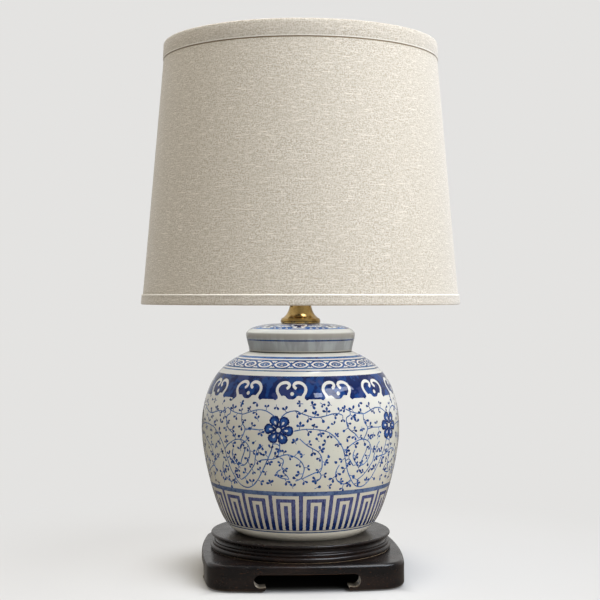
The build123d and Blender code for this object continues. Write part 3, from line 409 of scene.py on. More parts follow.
class Brush:
    """Strokes of one colour. Each is a closed low ridge that lies on the glaze, in degrees and
    millimetres, with its edges a hair under the glaze."""

    edge = -0.004
    taper = 0.7  # how fast a stroke widens from its ends
    petal = (0, 0), (0.3, 0.3), (0.65, 0.5), (0.9, 0.33), (1, 0)

    def __init__(self, place, radius, lift=0.05):
        self.place, self.radius, self.lift = place, radius, lift
        self.points, self.facings, self.faces = [], [], []

    def dab(self, turn, height, lift):
        """Puts one point down, and gives its number."""
        point, facing = self.place(turn, height, lift)
        self.points.append(point)
        self.facings.append(facing)
        return len(self.points) - 1

    def beside(self, turn, height, along, up):
        """A place moved along and up, in millimetres."""
        return turn + math.degrees(along / self.radius(height)), height + up

    def toward(self, turn, height, angle, distance):
        """A place moved some millimetres along an angle."""
        angle = math.radians(angle)
        return self.beside(turn, height, distance * math.cos(angle), distance * math.sin(angle))

    def line(self, path, step, bent):
        """Even steps along straight or smoothly bent runs through the path's points."""
        found = []
        for k in range(len(path) - 1):
            p = [path[min(max(k + j, 0), len(path) - 1)] for j in (-1, 0, 1, 2)]
            flat = math.radians(p[2][0] - p[1][0]) * self.radius(p[1][1])
            many = max(1, round(math.hypot(flat, p[2][1] - p[1][1]) / step))
            for i in range(many):
                t = i / many
                if bent:
                    found.append(tuple(0.5 * (2 * b + (c - a) * t + (2 * a - 5 * b + 4 * c - d) * t * t
                                              + (3 * b - a - 3 * c + d) * t ** 3)
                                       for a, b, c, d in zip(*p)))
                else:
                    found.append(tuple(b + (c - b) * t for b, c in zip(p[1], p[2])))
        return found + [tuple(path[-1])]

    def stroke(self, path, width, step=1.5, bent=True, start=0.5, end=0.5, shake=0.15):
        """A brush stroke. start and end are its width there, as shares of width."""
        line = self.line(path, step, bent)
        rings, last = [], len(line) - 1
        for i, (turn, height) in enumerate(line):
            before, after = line[max(i - 1, 0)], line[min(i + 1, last)]
            flat = math.radians(after[0] - before[0]) * self.radius(height)
            rise = after[1] - before[1]
            length = math.hypot(flat, rise) or 1
            widen = self.taper * step / width
            share = min(1, start + i * widen, end + (last - i) * widen)
            half = width / 2 * share * (1 + shake * noise.noise(Vector((turn * 0.4, height * 0.18, width))))
            along, up = -rise / length * half, flat / length * half
            rings.append([self.dab(*self.beside(turn, height, along * k, up * k), lift) for k, lift
                          in ((1, self.edge), (0.7, self.lift), (-0.7, self.lift), (-1, self.edge))])
        for a, b in zip(rings, rings[1:]):
            self.faces += [(a[k], a[(k + 1) % 4], b[(k + 1) % 4], b[k]) for k in range(4)]
        self.faces += [rings[0][::-1], rings[-1]]

    def blob(self, outline, centre):
        """A filled shape round centre. outline is a list of places, counter-clockwise."""
        rim = [self.dab(*p, self.edge) for p in outline]
        mid = [self.dab(*(0.75 * a + 0.25 * b for a, b in zip(p, centre)), self.lift) for p in outline]
        peak = self.dab(*centre, self.lift)
        for i, a in enumerate(rim):
            j = (i + 1) % len(rim)
            self.faces += [(a, rim[j], mid[j], mid[i]), (mid[i], mid[j], peak)]
        self.faces.append(rim[::-1])

    def drop(self, turn, height, angle, length, width, shape=petal):
        """A petal or leaf from a place, pointing along angle. shape is half its outline."""
        c, s = math.cos(math.radians(angle)), math.sin(math.radians(angle))
        both = [(a, -b) for a, b in shape] + [(a, b) for a, b in shape[-2:0:-1]]

        def put(a, b):
            a, b = a * length, b * width
            return self.beside(turn, height, a * c - b * s, a * s + b * c)

        self.blob([put(*p) for p in both], put(0.55, 0))

    def dot(self, turn, height, radius, sides=10):
        """A round spot."""
        ring = [math.tau * k / sides for k in range(sides)]
        self.blob([self.beside(turn, height, radius * math.cos(a), radius * math.sin(a)) for a in ring],
                  (turn, height))

    def ring(self, low, high, rows=1):
        """A band all round."""
        net = []
        heights = [low + (high - low) * r / rows for r in range(rows + 1)]
        inset = 0.25 * (high - low) / rows
        inner = [min(max(h, low + inset), high - inset) for h in heights]
        for turn in range(360):
            ends = self.dab(turn, heights[0], self.edge), self.dab(turn, heights[-1], self.edge)
            net.append([ends[0], *(self.dab(turn, h, self.lift) for h in inner), ends[1]])
        for a, b in zip(net, net[1:] + net[:1]):
            self.faces += [(a[r], b[r], b[r + 1], a[r + 1]) for r in range(len(a) - 1)]
            self.faces.append((a[0], a[-1], b[-1], b[0]))

    def made(self, name, material):
        """The strokes as one piece, which rides with the jar."""
        mesh = bpy.data.meshes.new(name)
        mesh.from_pydata(self.points, [], self.faces)
        mesh.materials.append(material)
        mesh.polygons.foreach_set("use_smooth", [True] * len(mesh.polygons))
        mesh.normals_split_custom_set_from_vertices(self.facings)
        bake = mesh.uv_layers.new(name="OFBake").uv
        for loop in mesh.loops:
            x, y, z = mesh.vertices[loop.vertex_index].co
            bake[loop.index].vector = (math.atan2(x, -y) / math.tau + 0.5, z * 3 % 1)
        piece = bpy.data.objects.new(name, mesh)
        bpy.context.collection.objects.link(piece)
        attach(piece, "stand")


def cobalt(name, thin, full, dark, grain=(90, 90, 90)):
    """Cobalt under the glaze: streaked along the brush, darker where it pooled."""
    material, tree, shader = under_glaze(name)
    streaks = spread(tree, clouds(tree, grain, 4, roughness=0.6), 0.35, 0.65)
    pooled = spread(tree, clouds(tree, 210), 0.45, 0.72)
    paint(shader, pooled, tint(tree, streaks, thin, full), dark)
    return material


line_blue = cobalt("cobalt line", (0.024, 0.064, 0.2), (0.01, 0.032, 0.13), (0.004, 0.012, 0.06))
spiral_blue = cobalt("spiral cobalt", (0.05, 0.13, 0.34), (0.022, 0.072, 0.24), (0.009, 0.03, 0.125))
# Rings are streaked along the wheel's turn.
ring_blue = cobalt("cobalt ring", (0.085, 0.2, 0.46), (0.032, 0.1, 0.31), (0.014, 0.042, 0.16),
                   grain=(40, 40, 200))
grey_blue = cobalt("thin cobalt", (0.15, 0.22, 0.36), (0.08, 0.135, 0.26), (0.04, 0.075, 0.17),
                   grain=(40, 40, 200))
slate_blue = cobalt("slate cobalt", (0.092, 0.13, 0.225), (0.055, 0.084, 0.16), (0.03, 0.05, 0.12),
                    grain=(60, 60, 300))

# The deep band is laid on in broad patches that overlap: navy, clear blue and a violet grey.
band_blue, tree, shader = under_glaze("cobalt wash")
patches = spread(tree, clouds(tree, (85, 85, 60), 2), 0.46, 0.54)
violet = spread(tree, clouds(tree, 1, 2, lay(tree, (60, 60, 75), (40, 20, 0))), 0.55, 0.62, 0, 0.75)
deep = spread(tree, clouds(tree, 150), 0.56, 0.68, 0, 0.8)
wash = tint(tree, patches, (0.0065, 0.018, 0.09), (0.012, 0.05, 0.195))
wash = tint(tree, violet, wash, (0.04, 0.052, 0.15))
paint(shader, deep, wash, (0.005, 0.011, 0.06))

# The fret's strokes are a thin violet wash above, and run down into dark pools at their feet.
fret_blue, tree, shader = under_glaze("fret cobalt")
uneven = reckon(tree, "MULTIPLY", clouds(tree, (130, 130, 30), 2), 0.016)
run = reckon(tree, "ADD", measured(tree)["Z"], uneven)
streaks = spread(tree, clouds(tree, (520, 520, 20)), 0.38, 0.66)
wash = tint(tree, streaks, (0.04, 0.045, 0.118), (0.076, 0.086, 0.185))
foot = tint(tree, streaks, (0.0045, 0.011, 0.056), (0.01, 0.028, 0.115))
wash = tint(tree, spread(tree, run, 0.092, 0.079), wash, foot)
pooled = spread(tree, clouds(tree, 240), 0.56, 0.7, 0, 0.7)
paint(shader, pooled, wash, (0.013, 0.02, 0.075))

# Rings, drawn with the jar turning on the wheel.
for name, material, *heights in (
        ("jar_ring", ring_blue, (258.6, 260.7)),
        ("jar_pale_rings", grey_blue, (256.1, 257.5), (247.7, 249.3), (245.0, 246.4)),
        ("jar_slate_rings", slate_blue, (106.2, 111.4), (61.2, 62.9), (64.3, 65.1))):
    rings = Brush(on_jar, reach, 0.06)
    for low, high in heights:
        rings.ring(low, high, rows=2)
    rings.made(name, material)

# Spiral border: two waves that cross between oval eyes.
spirals = Brush(on_jar, reach, 0.07)
eyes = Brush(on_jar, reach, 0.05)
spiral_count, spiral_middle = 25, 252.6
pitch = 360 / spiral_count
crest = [(-7.2, 0), (-5.5, 1.9), (-3.3, 3.4), (0, 3.85), (3.3, 3.4), (5.5, 1.9), (7.2, 0)]
oval = [(3.7 * math.cos(a), 1.65 * math.sin(a)) for a in (math.tau * j / 8 for j in range(9))]
wiggle = [(-2.2, -0.5), (0, 0.5), (2.2, -0.4)]
for k in range(spiral_count):
    turn = k * pitch
    for way in (1, -1):
        spirals.stroke([(turn + a, spiral_middle + way * b) for a, b in crest], 1.45, start=0.9, end=0.9)
        spirals.drop(turn + 7.2, spiral_middle, 90 * way, 2.6, 2.2)
    spirals.stroke([(turn + a, spiral_middle + b) for a, b in oval], 1.15, start=1, end=1)
    spirals.stroke([(turn + a, spiral_middle + b) for a, b in wiggle], 0.7, 1)
    for way in (1, -1):
        spirals.dot(turn + way * 3.4, spiral_middle, 1.35, 8)
        eyes.drop(turn, spiral_middle, 90 - 90 * way, 3.6, 2.6)
spirals.made("jar_spirals", spiral_blue)
eyes.made("jar_spiral_eyes", grey_blue)

# Deep blue band with thirteen lobed heads left white: two curls over a dark three-lobed drop.
band_low, band_high, head_count, first_head = 215.2, 240.2, 13, -5.4
band = Brush(on_jar, reach, 0.06)
band.ring(band_low, band_high, rows=10)
band.made("jar_band", band_blue)
heads, points = Brush(on_jar, reach, 0.13), Brush(on_jar, reach, 0.06)
curl = [(3.0, 226.8), (1.9, 228.2), (1.3, 230.7), (2.2, 232.8), (3.8, 233.5), (5.6, 233.0), (7.2, 231.4),
        (8.4, 228.4), (8.6, 225.2), (8.0, 221.9), (6.8, 218.6), (6.6, 215.4)]
skirt = [(1.6, 213.9), (3.4, 213.9), (5.2, 213.9), (7.0, 213.9), (9.0, 213.9), (8.1, 216.4), (8.5, 220.2),
         (6.9, 219.7), (5.5, 219.2), (4.1, 219.6), (3.0, 218.7), (2.3, 216.9), (1.2, 215.4), (-0.3, 213.9)]
for k in range(head_count):
    turn = first_head + k * 360 / head_count
    for way in (1, -1):
        heads.stroke([(turn + way * a, b) for a, b in curl], 3.7, 1.2, start=0.75, end=1, shake=0.08)
        outline = [(turn + way * a, b) for a, b in skirt]
        heads.blob(outline if way > 0 else outline[::-1], (turn + way * 5.2, 216.6))
        points.drop(turn + way * 10.6, 215.6, 90 + way * 102, 4.2, 1.8)
    heads.dot(turn + 0.5, 221.2, 2.35, 14)
heads.made("jar_white_heads", porcelain)
points.made("jar_band_points", band_blue)

# Flower scroll: five repeats of one vine with its flower, drawn as degrees right of the
# flower and millimetres over the table.
flower_height, first_flower, repeats = 181.5, -12.0, 5
vine = [
    [(8.5, 180.5), (15, 182.5), (22.5, 181.5), (28, 178), (33, 168.5), (36, 159), (37.5, 149), (39, 138),
     (41, 129), (45, 118), (50, 114), (54.5, 116.5), (58.5, 124), (61, 131.5), (63.5, 140), (66, 150),
     (68, 159), (69.2, 168.5)],
    [(-22.5, 197.5), (-22.5, 192), (-21.7, 187), (-20, 182), (-21, 175), (-23, 169)],
    [(-35.5, 156), (-33, 161), (-30, 165), (-26.5, 168.3), (-23, 169), (-20, 167), (-18, 163), (-17, 157),
     (-17.5, 150), (-19, 144.5), (-21.5, 140), (-24.3, 139)],
    [(-28.5, 158), (-29.5, 152.5), (-29, 147.5), (-27, 142), (-25.5, 138.5), (-24.7, 135.5)],
    [(-20, 159.5), (-21, 154), (-23, 146), (-24, 140)],
    [(-10, 165), (-12, 160), (-13, 155), (-14, 148), (-14.5, 142.5), (-16.5, 137), (-19.5, 130), (-22, 126),
     (-25, 122.5)],
    [(-12, 145), (-10, 147), (-6.5, 148), (-3.5, 148.5), (-0.5, 151), (2.5, 153.3), (5, 154), (8.5, 152),
     (12, 147), (14, 139.5), (13.5, 132.5), (12.5, 127.5), (11, 125.5), (9, 124)],
    [(0.5, 150.5), (2.3, 148.5), (2.5, 145), (1.5, 139.5), (2.5, 136)],
    [(5.5, 126), (4, 130.5), (2, 133.5)],
    [(1, 137), (-1, 134.5), (-2, 131), (0.5, 127.5), (3, 126.5), (5.5, 125.5)],
    [(0.5, 169.5), (0.7, 164), (0.5, 158.5), (-0.3, 153.5), (-1.2, 151)],
    [(-3, 166), (-0.5, 165.5), (0.7, 163)],
    [(11.5, 172), (15, 165.5), (18.5, 161), (21.5, 157.3), (23.4, 152), (24, 146), (24, 139), (23, 134.5),
     (20.5, 133.5), (16.5, 130), (12.5, 126)],
    [(22.4, 134.7), (23.7, 130.5), (23, 126), (19.7, 122)],
    [(34.3, 141.5), (32.6, 135), (32.5, 129), (34, 123), (38, 119), (41, 121), (42.3, 123.5)],
    [(1.3, 195), (4.3, 200.5), (9.2, 202.8), (12.5, 200), (16, 197.5), (19.5, 195.5), (23, 195.8),
     (26.5, 197.2), (30, 199), (33.5, 199), (36, 197)],
    [(-2, 196), (-7.5, 202.2), (-13, 203), (-19.5, 199), (-22.5, 197.6), (-29, 199.6), (-34, 204)],
    [(40.4, 203.3), (40.7, 197.5), (38.4, 194.5), (38, 190), (39, 183), (41, 179), (43.5, 175.5),
     (45.5, 170.5)],
    [(38, 146), (40, 147.7), (41.6, 143.5), (43, 139.7)],
    [(-20, 180), (-16, 181.5), (-11, 181), (-8.5, 181.5)],
]
scroll_low, scroll_high = 113.8, 212.5
flower_clear, sprigs_apart, loose_apart = 20, 6.4, 8.8
loose_tries, loose_low, loose_high = 4000, 114, 212
one_leaf, two_leaves = 0.16, 0.68  # draws under these give one or two leaves, the rest three
vines, leaves = Brush(on_jar, reach, 0.05), Brush(on_jar, reach, 0.07)
rng = random.Random(5)
grown = []  # the tips of the sprigs so far


def apart(a, b):
    """How far two places on the jar are apart, in millimetres."""
    turned = (a[0] - b[0] + 180) % 360 - 180
    return math.hypot(math.radians(turned) * reach(a[1]), a[1] - b[1])


def from_flower(turn, height):
    """How far a place is from the nearest flower, in millimetres."""
    between = 360 / repeats
    turned = (turn - first_flower + between / 2) % between - between / 2
    return math.hypot(math.radians(turned) * reach(flower_height), height - flower_height)


def sprig(turn, height, angle, stem):
    """A short stem with one, two or three leaves at its tip."""
    tip = vines.toward(turn, height, angle, stem)
    if not scroll_low < tip[1] < scroll_high or any(apart(tip, other) < sprigs_apart for other in grown):
        return
    if from_flower(*tip) < flower_clear:
        return
    grown.append(tip)
    if stem > 1:
        vines.stroke([(turn, height), tip], 0.95, bent=False, start=0.8, end=0.8)
    kind = rng.random()
    size = rng.uniform(4.6, 6.0)
    bend = rng.uniform(-16, 16)
    if kind < one_leaf:
        leaves.drop(*tip, angle + bend, size * 0.9, size * 0.7)
        return
    fan = (42, -42) if kind < two_leaves else (68, 0, -68)
    for way in fan:
        leaves.drop(*tip, angle + bend + way + rng.uniform(-9, 9), size * rng.uniform(0.75, 1.0), size * 0.54)


flowers = [first_flower + k * 360 / repeats for k in range(repeats)]
branches = [[(middle + a, b) for a, b in branch] for middle in flowers for branch in vine]
for branch in branches:
    vines.stroke(branch, 1.3, shake=0.3, start=0.7)
for branch in branches:
    line = vines.line(branch, 7.6, True)
    way = 1
    for before, here in zip(line, line[1:]):
        flat = math.radians(here[0] - before[0]) * reach(here[1])
        angle = math.degrees(math.atan2(here[1] - before[1], flat))
        sprig(*here, angle + way * rng.uniform(48, 78), rng.uniform(2.6, 4.6))
        way = -way
    sprig(*line[-1], angle + rng.uniform(-20, 20), 0.6)
# Loose sprigs fill the gaps that the vines leave.
for _ in range(loose_tries):
    turn, height = rng.uniform(0, 360), rng.uniform(loose_low, loose_high)
    if all(apart((turn, height), other) > loose_apart for other in grown):
        sprig(turn, height, rng.uniform(0, 360), rng.choice((0.5, 2.2, 3.2)))
vine_blue = cobalt("vine cobalt", (0.075, 0.15, 0.33), (0.036, 0.088, 0.24), (0.014, 0.04, 0.13))
leaf_blue = cobalt("leaf cobalt", (0.02, 0.066, 0.22), (0.009, 0.036, 0.15), (0.004, 0.014, 0.07))
vines.made("jar_vines", vine_blue)
leaves.made("jar_leaves", leaf_blue)

# The flowers: six petals each, an outline, a paler wash, a white drop and a white eye.
petals, washes = Brush(on_jar, reach, 0.1), Brush(on_jar, reach, 0.15)
drops = Brush(on_jar, reach, 0.21)
round_petal = (0, 0), (0.12, 0.17), (0.35, 0.36), (0.6, 0.48), (0.82, 0.42), (0.95, 0.24), (1, 0)
layers = ((petals, 2.2, (15, 13, round_petal)), (washes, 4.6, (11, 9.8, round_petal)),
          (drops, 6, (5.4, 2.9)))
for middle in flowers:
    for angle in range(-5, 355, 60):
        for brush, distance, shape in layers:
            brush.drop(*brush.toward(middle, flower_height, angle, distance), angle, *shape)
    petals.dot(middle, flower_height, 4.6, 16)
    drops.dot(middle, flower_height, 2.7, 14)
petals.made("jar_petals", cobalt("petal cobalt", (0.01, 0.028, 0.115), (0.006, 0.018, 0.085),
                                 (0.003, 0.008, 0.045), grain=(120, 120, 120)))
washes.made("jar_petal_washes", cobalt("petal wash", (0.028, 0.085, 0.26), (0.012, 0.044, 0.17),
                                       (0.007, 0.024, 0.1), grain=(150, 150, 150)))
drops.made("jar_petal_drops", porcelain)

# Key fret: nineteen bars between nested hooks, their feet dark where the cobalt ran down.
fret = Brush(on_jar, reach, 0.06)
fret_count, first_bar, fret_foot, fret_head = 19, 0.3, 64.6, 107.5
hook_side, hook_top, inner_top = 4.75, 100.6, 94.6
for k in range(fret_count):
    bar = first_bar + k * 360 / fret_count
    middle = bar + 180 / fret_count
    left, right = middle - hook_side, middle + hook_side
    for path, width in (([(bar, fret_head), (bar, fret_foot)], 4.7),
                        ([(left, hook_top + 1.9), (left, fret_foot)], 4.9),
                        ([(right, hook_top + 1.9), (right, fret_foot)], 4.9),
                        ([(left - 1.2, hook_top), (right + 1.2, hook_top)], 4.2),
                        ([(middle, inner_top), (middle, fret_foot)], 4.8)):
        fret.stroke(path, width, 2, bent=False, start=0.9, end=0.85, shake=0.06)
fret.made("jar_fret", fret_blue)

# ---- lid, its gasket and the rubber bush ------------------------------------
# The lid is thrown apart and stands on a dark gasket round the jar's collar, painted with one
# thin ring on its side and a ring of flower sprays on its top. Its side is painted a darker grey
# than the jar, as painted shade under the lampshade.

lid_glaze, tree, shader = under_glaze("lid glaze")
runs = clouds(tree, (120, 120, 14))
# Painted shade: the side's darker grey stands for the lampshade's shade over it.
side = tint(tree, spread(tree, runs, 0.38, 0.62), (0.3, 0.31, 0.31), (0.385, 0.405, 0.41))
# By height, a warm brownish band above the blue ring, a paler line along the lower edge and a white top.
by_height(shader, side, (0.2795, 0.283, (0.36, 0.335, 0.29), 0.75),
          (0.2678, 0.2664, (0.46, 0.435, 0.37), 0.7),
          (0.2862, 0.2885, china(tree, (0.74, 0.74, 0.7), (0.68, 0.7, 0.68))))
coat(lid_glaze, "lid")
rubber, tree, shader = surface("black rubber", Base_Color=(0.02, 0.019, 0.018))
gloss(shader, clouds(tree, 400), 0.5, 0.75)
coat(rubber, "lid_gasket", "jar_bush")

cover = skin("lid")


def on_lid_side(turn, height, lift):
    """A place on the lid's side, as on the jar."""
    spot, out = across(turn, height, cover)
    return spot + out * (lift * mm), out


def on_lid_top(turn, radius, lift):
    """On the lid's top a place is degrees, left of the view, and the distance from the axis."""
    start = outward(-turn) * (radius * mm) + Vector((0, 0, above))
    hit, facing = cover.ray_cast(start, Vector((0, 0, -1)))[:2]
    return hit + facing * (lift * mm), facing


lid_radius, spray_radius = 64, 46
side_ring = Brush(on_lid_side, lambda height: lid_radius, 0.04)
side_ring.ring(278.2, 279.8)
side_ring.made("lid_ring", line_blue)
spray, leaf = (Brush(on_lid_top, lambda radius: radius, lift) for lift in (0.07, 0.05))
leaf.ring(56.8, 59.6)
leaf.ring(27.5, 29.5)
tendril = [(0, 44), (8, 50), (15, 46), (22, 50)]
leaf_places = ((5, 54, 10), (7, 50, 25), (11, 46, -50), (14, 54, -8), (15, 50, 60), (19, 44, -10),
               (9, 40, 120), (15, 39, -70), (20, 37, 10), (6, 34, 80), (12, 32, 15), (18, 31, -40))
for turn in range(2, 362, 45):
    for angle in (-90, -40, -140, 90):
        spray.drop(turn, spray_radius, angle, 9, 6.4)
    spray.dot(turn, spray_radius, 3)
    for way in (1, -1):
        spray.stroke([(turn + way * a, b) for a, b in tendril], 1.2)
        for a, b, angle in leaf_places:
            leaf.drop(turn + way * a, b, angle if way > 0 else 180 - angle, 8.6, 5.6)
spray.made("lid_spray", line_blue)
leaf.made("lid_leaves", ring_blue)

# ---- brass: neck, harp, its seat, saddle and sleeves, socket, nut, screws and finial ----
# Spun, turned and bent brass under thin lacquer, gone brown in cloudy patches and dull where
# it has been handled.

brass, tree, shader = surface("lacquered brass", Metallic=1.0)
tarnish = clouds(tree, 90, 5)
colour = tint(tree, spread(tree, tarnish, 0.4, 0.68, 0, 0.85), (0.52, 0.35, 0.13), (0.22, 0.13, 0.04))
flecks = spread(tree, clouds(tree, 700, 2), 0.66, 0.78, 0, 0.4)
paint(shader, flecks, colour, (0.14, 0.08, 0.03))
gloss(shader, tarnish, 0.1, 0.22)
relief(shader, clouds(tree, (300, 300, 2600)), 0.00002)
coat(brass, "brass_neck", "harp", "harp_seat", "harp_saddle", "harp_sleeve_left", "harp_sleeve_right",
     "saddle_nut", "socket_cap", "socket_shell", "socket_screw_shell", "centre_contact", "terminal_screws",
     "shade_spider", "finial")

# ---- steel: lamp pipe, its nut and washers, wood screws, set screw and switch stem ----
# Turned and stamped steel, zinc plated, with the plating's cloudy grey and fine tool marks.

steel, tree, shader = surface("zinc-plated steel", Metallic=1.0)
cloudy = clouds(tree, 130, 4)
paint(shader, cloudy, (0.42, 0.43, 0.44), (0.62, 0.62, 0.6))
gloss(shader, cloudy, 0.27, 0.45)
relief(shader, clouds(tree, (2400, 2400, 300), 2), 0.00005)
coat(steel, "threaded_rod", "bottom_washer", "bottom_lock_washer", "bottom_nut", "plinth_screws",
     "socket_set_screw", "switch_stem")

# ---- moulded pieces: switch body, key and the inlet's bush; card sleeve in the shell ----
# Brown-black phenolic with a moulded skin that is glossy where it touched the polished mould.

phenolic, tree, shader = surface("phenolic")
paint(shader, clouds(tree, 240, 4), (0.01, 0.007, 0.006), (0.03, 0.02, 0.014))
gloss(shader, clouds(tree, 120), 0.22, 0.42)
coat(phenolic, "socket_body", "switch_key", "inlet_bushing")
card, tree, shader = surface("varnished card", Roughness=0.5)
pulp = clouds(tree, 900, 4)
paint(shader, pulp, (0.26, 0.18, 0.1), (0.44, 0.33, 0.2))
relief(shader, pulp, 0.0001)
coat(card, "socket_liner")

# ---- bulb -------------------------------------------------------------------
# A frosted glass envelope on a bright aluminium screw cap, with a black glass insulator round
# its contact and a glass stem that carries the filament.

frosted, tree, shader = surface("frosted glass", Transmission_Weight=0.55, IOR=1.45)
paint(shader, clouds(tree, 900), (0.9, 0.9, 0.87), (0.96, 0.96, 0.94))
gloss(shader, clouds(tree, 600, 2), 0.36, 0.5)
coat(frosted, "bulb_glass", "bulb_mount")
tin, tree, shader = surface("bright aluminium", Metallic=1.0)
scuffs = clouds(tree, 350, 4)
paint(shader, scuffs, (0.62, 0.61, 0.58), (0.84, 0.83, 0.8))
gloss(shader, scuffs, 0.2, 0.4)
coat(tin, "bulb_cap")
insulator, tree, shader = surface("black glass", Base_Color=(0.012, 0.012, 0.015))
gloss(shader, clouds(tree, 500), 0.08, 0.2)
coat(insulator, "bulb_contact")

# ---- shade wires and lining -------------------------------------------------
# Steel wire rings under white enamel hold a stiff white laminated card, on which the linen is
# stretched and glued.

enamel, tree, shader = surface("white enamel")
paint(shader, clouds(tree, 260, 4), (0.66, 0.64, 0.59), (0.8, 0.78, 0.74))
gloss(shader, clouds(tree, 200), 0.28, 0.45)
coat(enamel, "shade_top_ring", "shade_bottom_ring")
lining, tree, shader = surface("white lining", Roughness=0.55)
paper_grain = clouds(tree, 700, 4)
paint(shader, paper_grain, (0.76, 0.745, 0.7), (0.83, 0.82, 0.78))
relief(shader, paper_grain, 0.00006)
coat(lining, "shade_liner")

# ---- linen of the shade -----------------------------------------------------
# One curved cut of natural plain-weave linen, stretched round the lining and lapped over
# itself in a glued seam at the back, made here as one closed cone without the seam.

linen_low, linen_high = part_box("shade_fabric")[0].z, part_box("shade_fabric")[1].z
linen_wide, linen_narrow, linen_thick = 0.1893, 0.1621, 0.0008
cloth_levels = 16
bpy.ops.mesh.primitive_cone_add(vertices=256, radius1=linen_wide, radius2=linen_narrow,
                                depth=linen_high - linen_low, end_fill_type="NOTHING",
                                location=(0, 0, (linen_low + linen_high) / 2))
linen = bpy.context.active_object
linen.name = "shade_linen"
bpy.ops.object.transform_apply(location=True)
bpy.ops.object.mode_set(mode="EDIT")
for level in range(1, cloth_levels):
    height = linen_low + (linen_high - linen_low) * level / cloth_levels
    bpy.ops.mesh.select_all(action="SELECT")
    bpy.ops.mesh.bisect(plane_co=(0, 0, height), plane_no=(0, 0, 1))
bpy.ops.object.mode_set(mode="OBJECT")
map_rows, side_margin, end_margin = 3, 0.01, 0.03


def wrap(piece, radius):
    """Maps a shade's cloth: Weave runs in metres round the cone, and up it and in over its folds.
    OFBake lays the same strip in rows, with a margin between them, so that it fills its picture."""
    mesh = piece.data
    climb = [v.co.z + radius - v.co.xy.length for v in mesh.vertices]
    low, tall = min(climb), max(climb) - min(climb)
    weave = mesh.uv_layers.new(name="Weave").uv
    bake = mesh.uv_layers.new(name="OFBake").uv
    for face in mesh.polygons:
        middle = math.atan2(face.center.x, -face.center.y)
        row = min(int((middle / math.tau + 0.5) * map_rows), map_rows - 1)
        for index in face.loop_indices:
            vertex = mesh.vertices[mesh.loops[index].vertex_index]
            angle = math.atan2(vertex.co.x, -vertex.co.y)
            angle += math.tau * round((middle - angle) / math.tau)
            weave[index].vector = (angle * radius, climb[vertex.index])
            along = (angle / math.tau + 0.5) * map_rows - row
            up = (climb[vertex.index] - low) / tall
            bake[index].vector = (side_margin + (1 - 2 * side_margin) * along,
                                  (row + end_margin + (1 - 2 * end_margin) * up) / map_rows)


solid = linen.modifiers.new("cloth", "SOLIDIFY")
solid.thickness, solid.offset = linen_thick, -1
bpy.ops.object.modifier_apply(modifier="cloth")
wrap(linen, (linen_wide + linen_narrow) / 2)
bpy.ops.object.shade_smooth_by_angle(angle=math.radians(40))


def weave_at(tree, stretch):
    """The cloth's own map in metres, scaled so that a pattern stretches along or up the strip."""
    cloth = node(tree, "UVMap", {}, uv_map="Weave").outputs[0]
    return node(tree, "Mapping", {"Vector": cloth, "Scale": (*stretch, 1)}).outputs[0]


def woven(name, pale, mid, dark):
    """Plain-weave linen of uneven yarn: a fine grain of crossing threads, thick and thin places,
    knots and long slubs."""
    material, tree, shader = surface(name, Roughness=0.85, Sheen_Weight=0.42, Sheen_Roughness=0.45)

    def yarns(along, up, detail=2, roughness=0.5):
        return clouds(tree, 1, detail, weave_at(tree, (along, up)), roughness)

    grain = yarns(520, 640, 3, 0.62)
    rows = tint(tree, 0.5, yarns(150, 1050), yarns(1050, 190))
    yarn = reckon(tree, "ADD", reckon(tree, "MULTIPLY", grain, 0.5), reckon(tree, "MULTIPLY", rows, 0.5))
    thick = spread(tree, yarns(80, 620), 0.585, 0.68)
    thin = spread(tree, yarns(90, 640), 0.39, 0.3, 0, 0.5)
    knots = reckon(tree, "MAXIMUM", spread(tree, yarns(260, 700, 1), 0.68, 0.76),
                   spread(tree, yarns(34, 660), 0.655, 0.72))
    threads = node(tree, "TexWave", {"Vector": weave_at(tree, (760, 760)), "Scale": 1, "Distortion": 1.5},
                   bands_direction="DIAGONAL")
    base = tint(tree, spread(tree, yarn, 0.42, 0.58), dark, pale)
    base = tint(tree, spread(tree, yarns(22, 40, 3), 0.35, 0.65, 0, 0.3), base, mid)
    base = tint(tree, reckon(tree, "MULTIPLY", thick, 0.62), base, tuple(1.16 * c for c in pale))
    base = tint(tree, thin, base, dark)
    base = tint(tree, reckon(tree, "MULTIPLY", knots, 0.6), base, tuple(1.42 * c for c in pale))
    lumps = reckon(tree, "MULTIPLY", reckon(tree, "MAXIMUM", thick, knots), 0.35)
    height = reckon(tree, "ADD", reckon(tree, "ADD", yarn, lumps),
                    reckon(tree, "MULTIPLY", threads.outputs["Fac"], 0.12))
    relief(shader, height, 0.0002)
    return material, tree, shader, base


def stripe(tree, low, high, share):
    """share between two heights, fading over 0.4 mm beyond them."""
    height, fade = measured(tree)["Z"], 0.0004
    over = spread(tree, height, low - fade, low)
    return reckon(tree, "MULTIPLY", over, spread(tree, height, high + fade, high, 0, share))


shade_low, shade_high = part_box("shade_bottom_trim")[0].z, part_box("shade_top_trim")[1].z
head_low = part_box("shade_top_trim")[0].z
linen_cloth, tree, shader, base = woven("natural linen", (0.555, 0.512, 0.438), (0.452, 0.405, 0.333),
                                        (0.348, 0.302, 0.233))
# Painted shadow: a dark brown line on the linen just under the top trim's lower edge.
paint(shader, stripe(tree, head_low - 0.0011, head_low + 0.0006, 0.9), base, (0.17, 0.115, 0.055))
linen.data.materials.append(linen_cloth)
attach(linen, "shade")
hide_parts("shade_fabric")

# ---- trims of the shade -----------------------------------------------------
# Folded strips of the same linen, glued over both edges and turned in over the wires. The top
# strip is wide and flat, the lower one narrow, with a thick fold along its upper edge.

trim_linen = (0.545, 0.502, 0.432), (0.442, 0.397, 0.33), (0.345, 0.3, 0.232)
pulls, pull_depth = 55, 0.0001


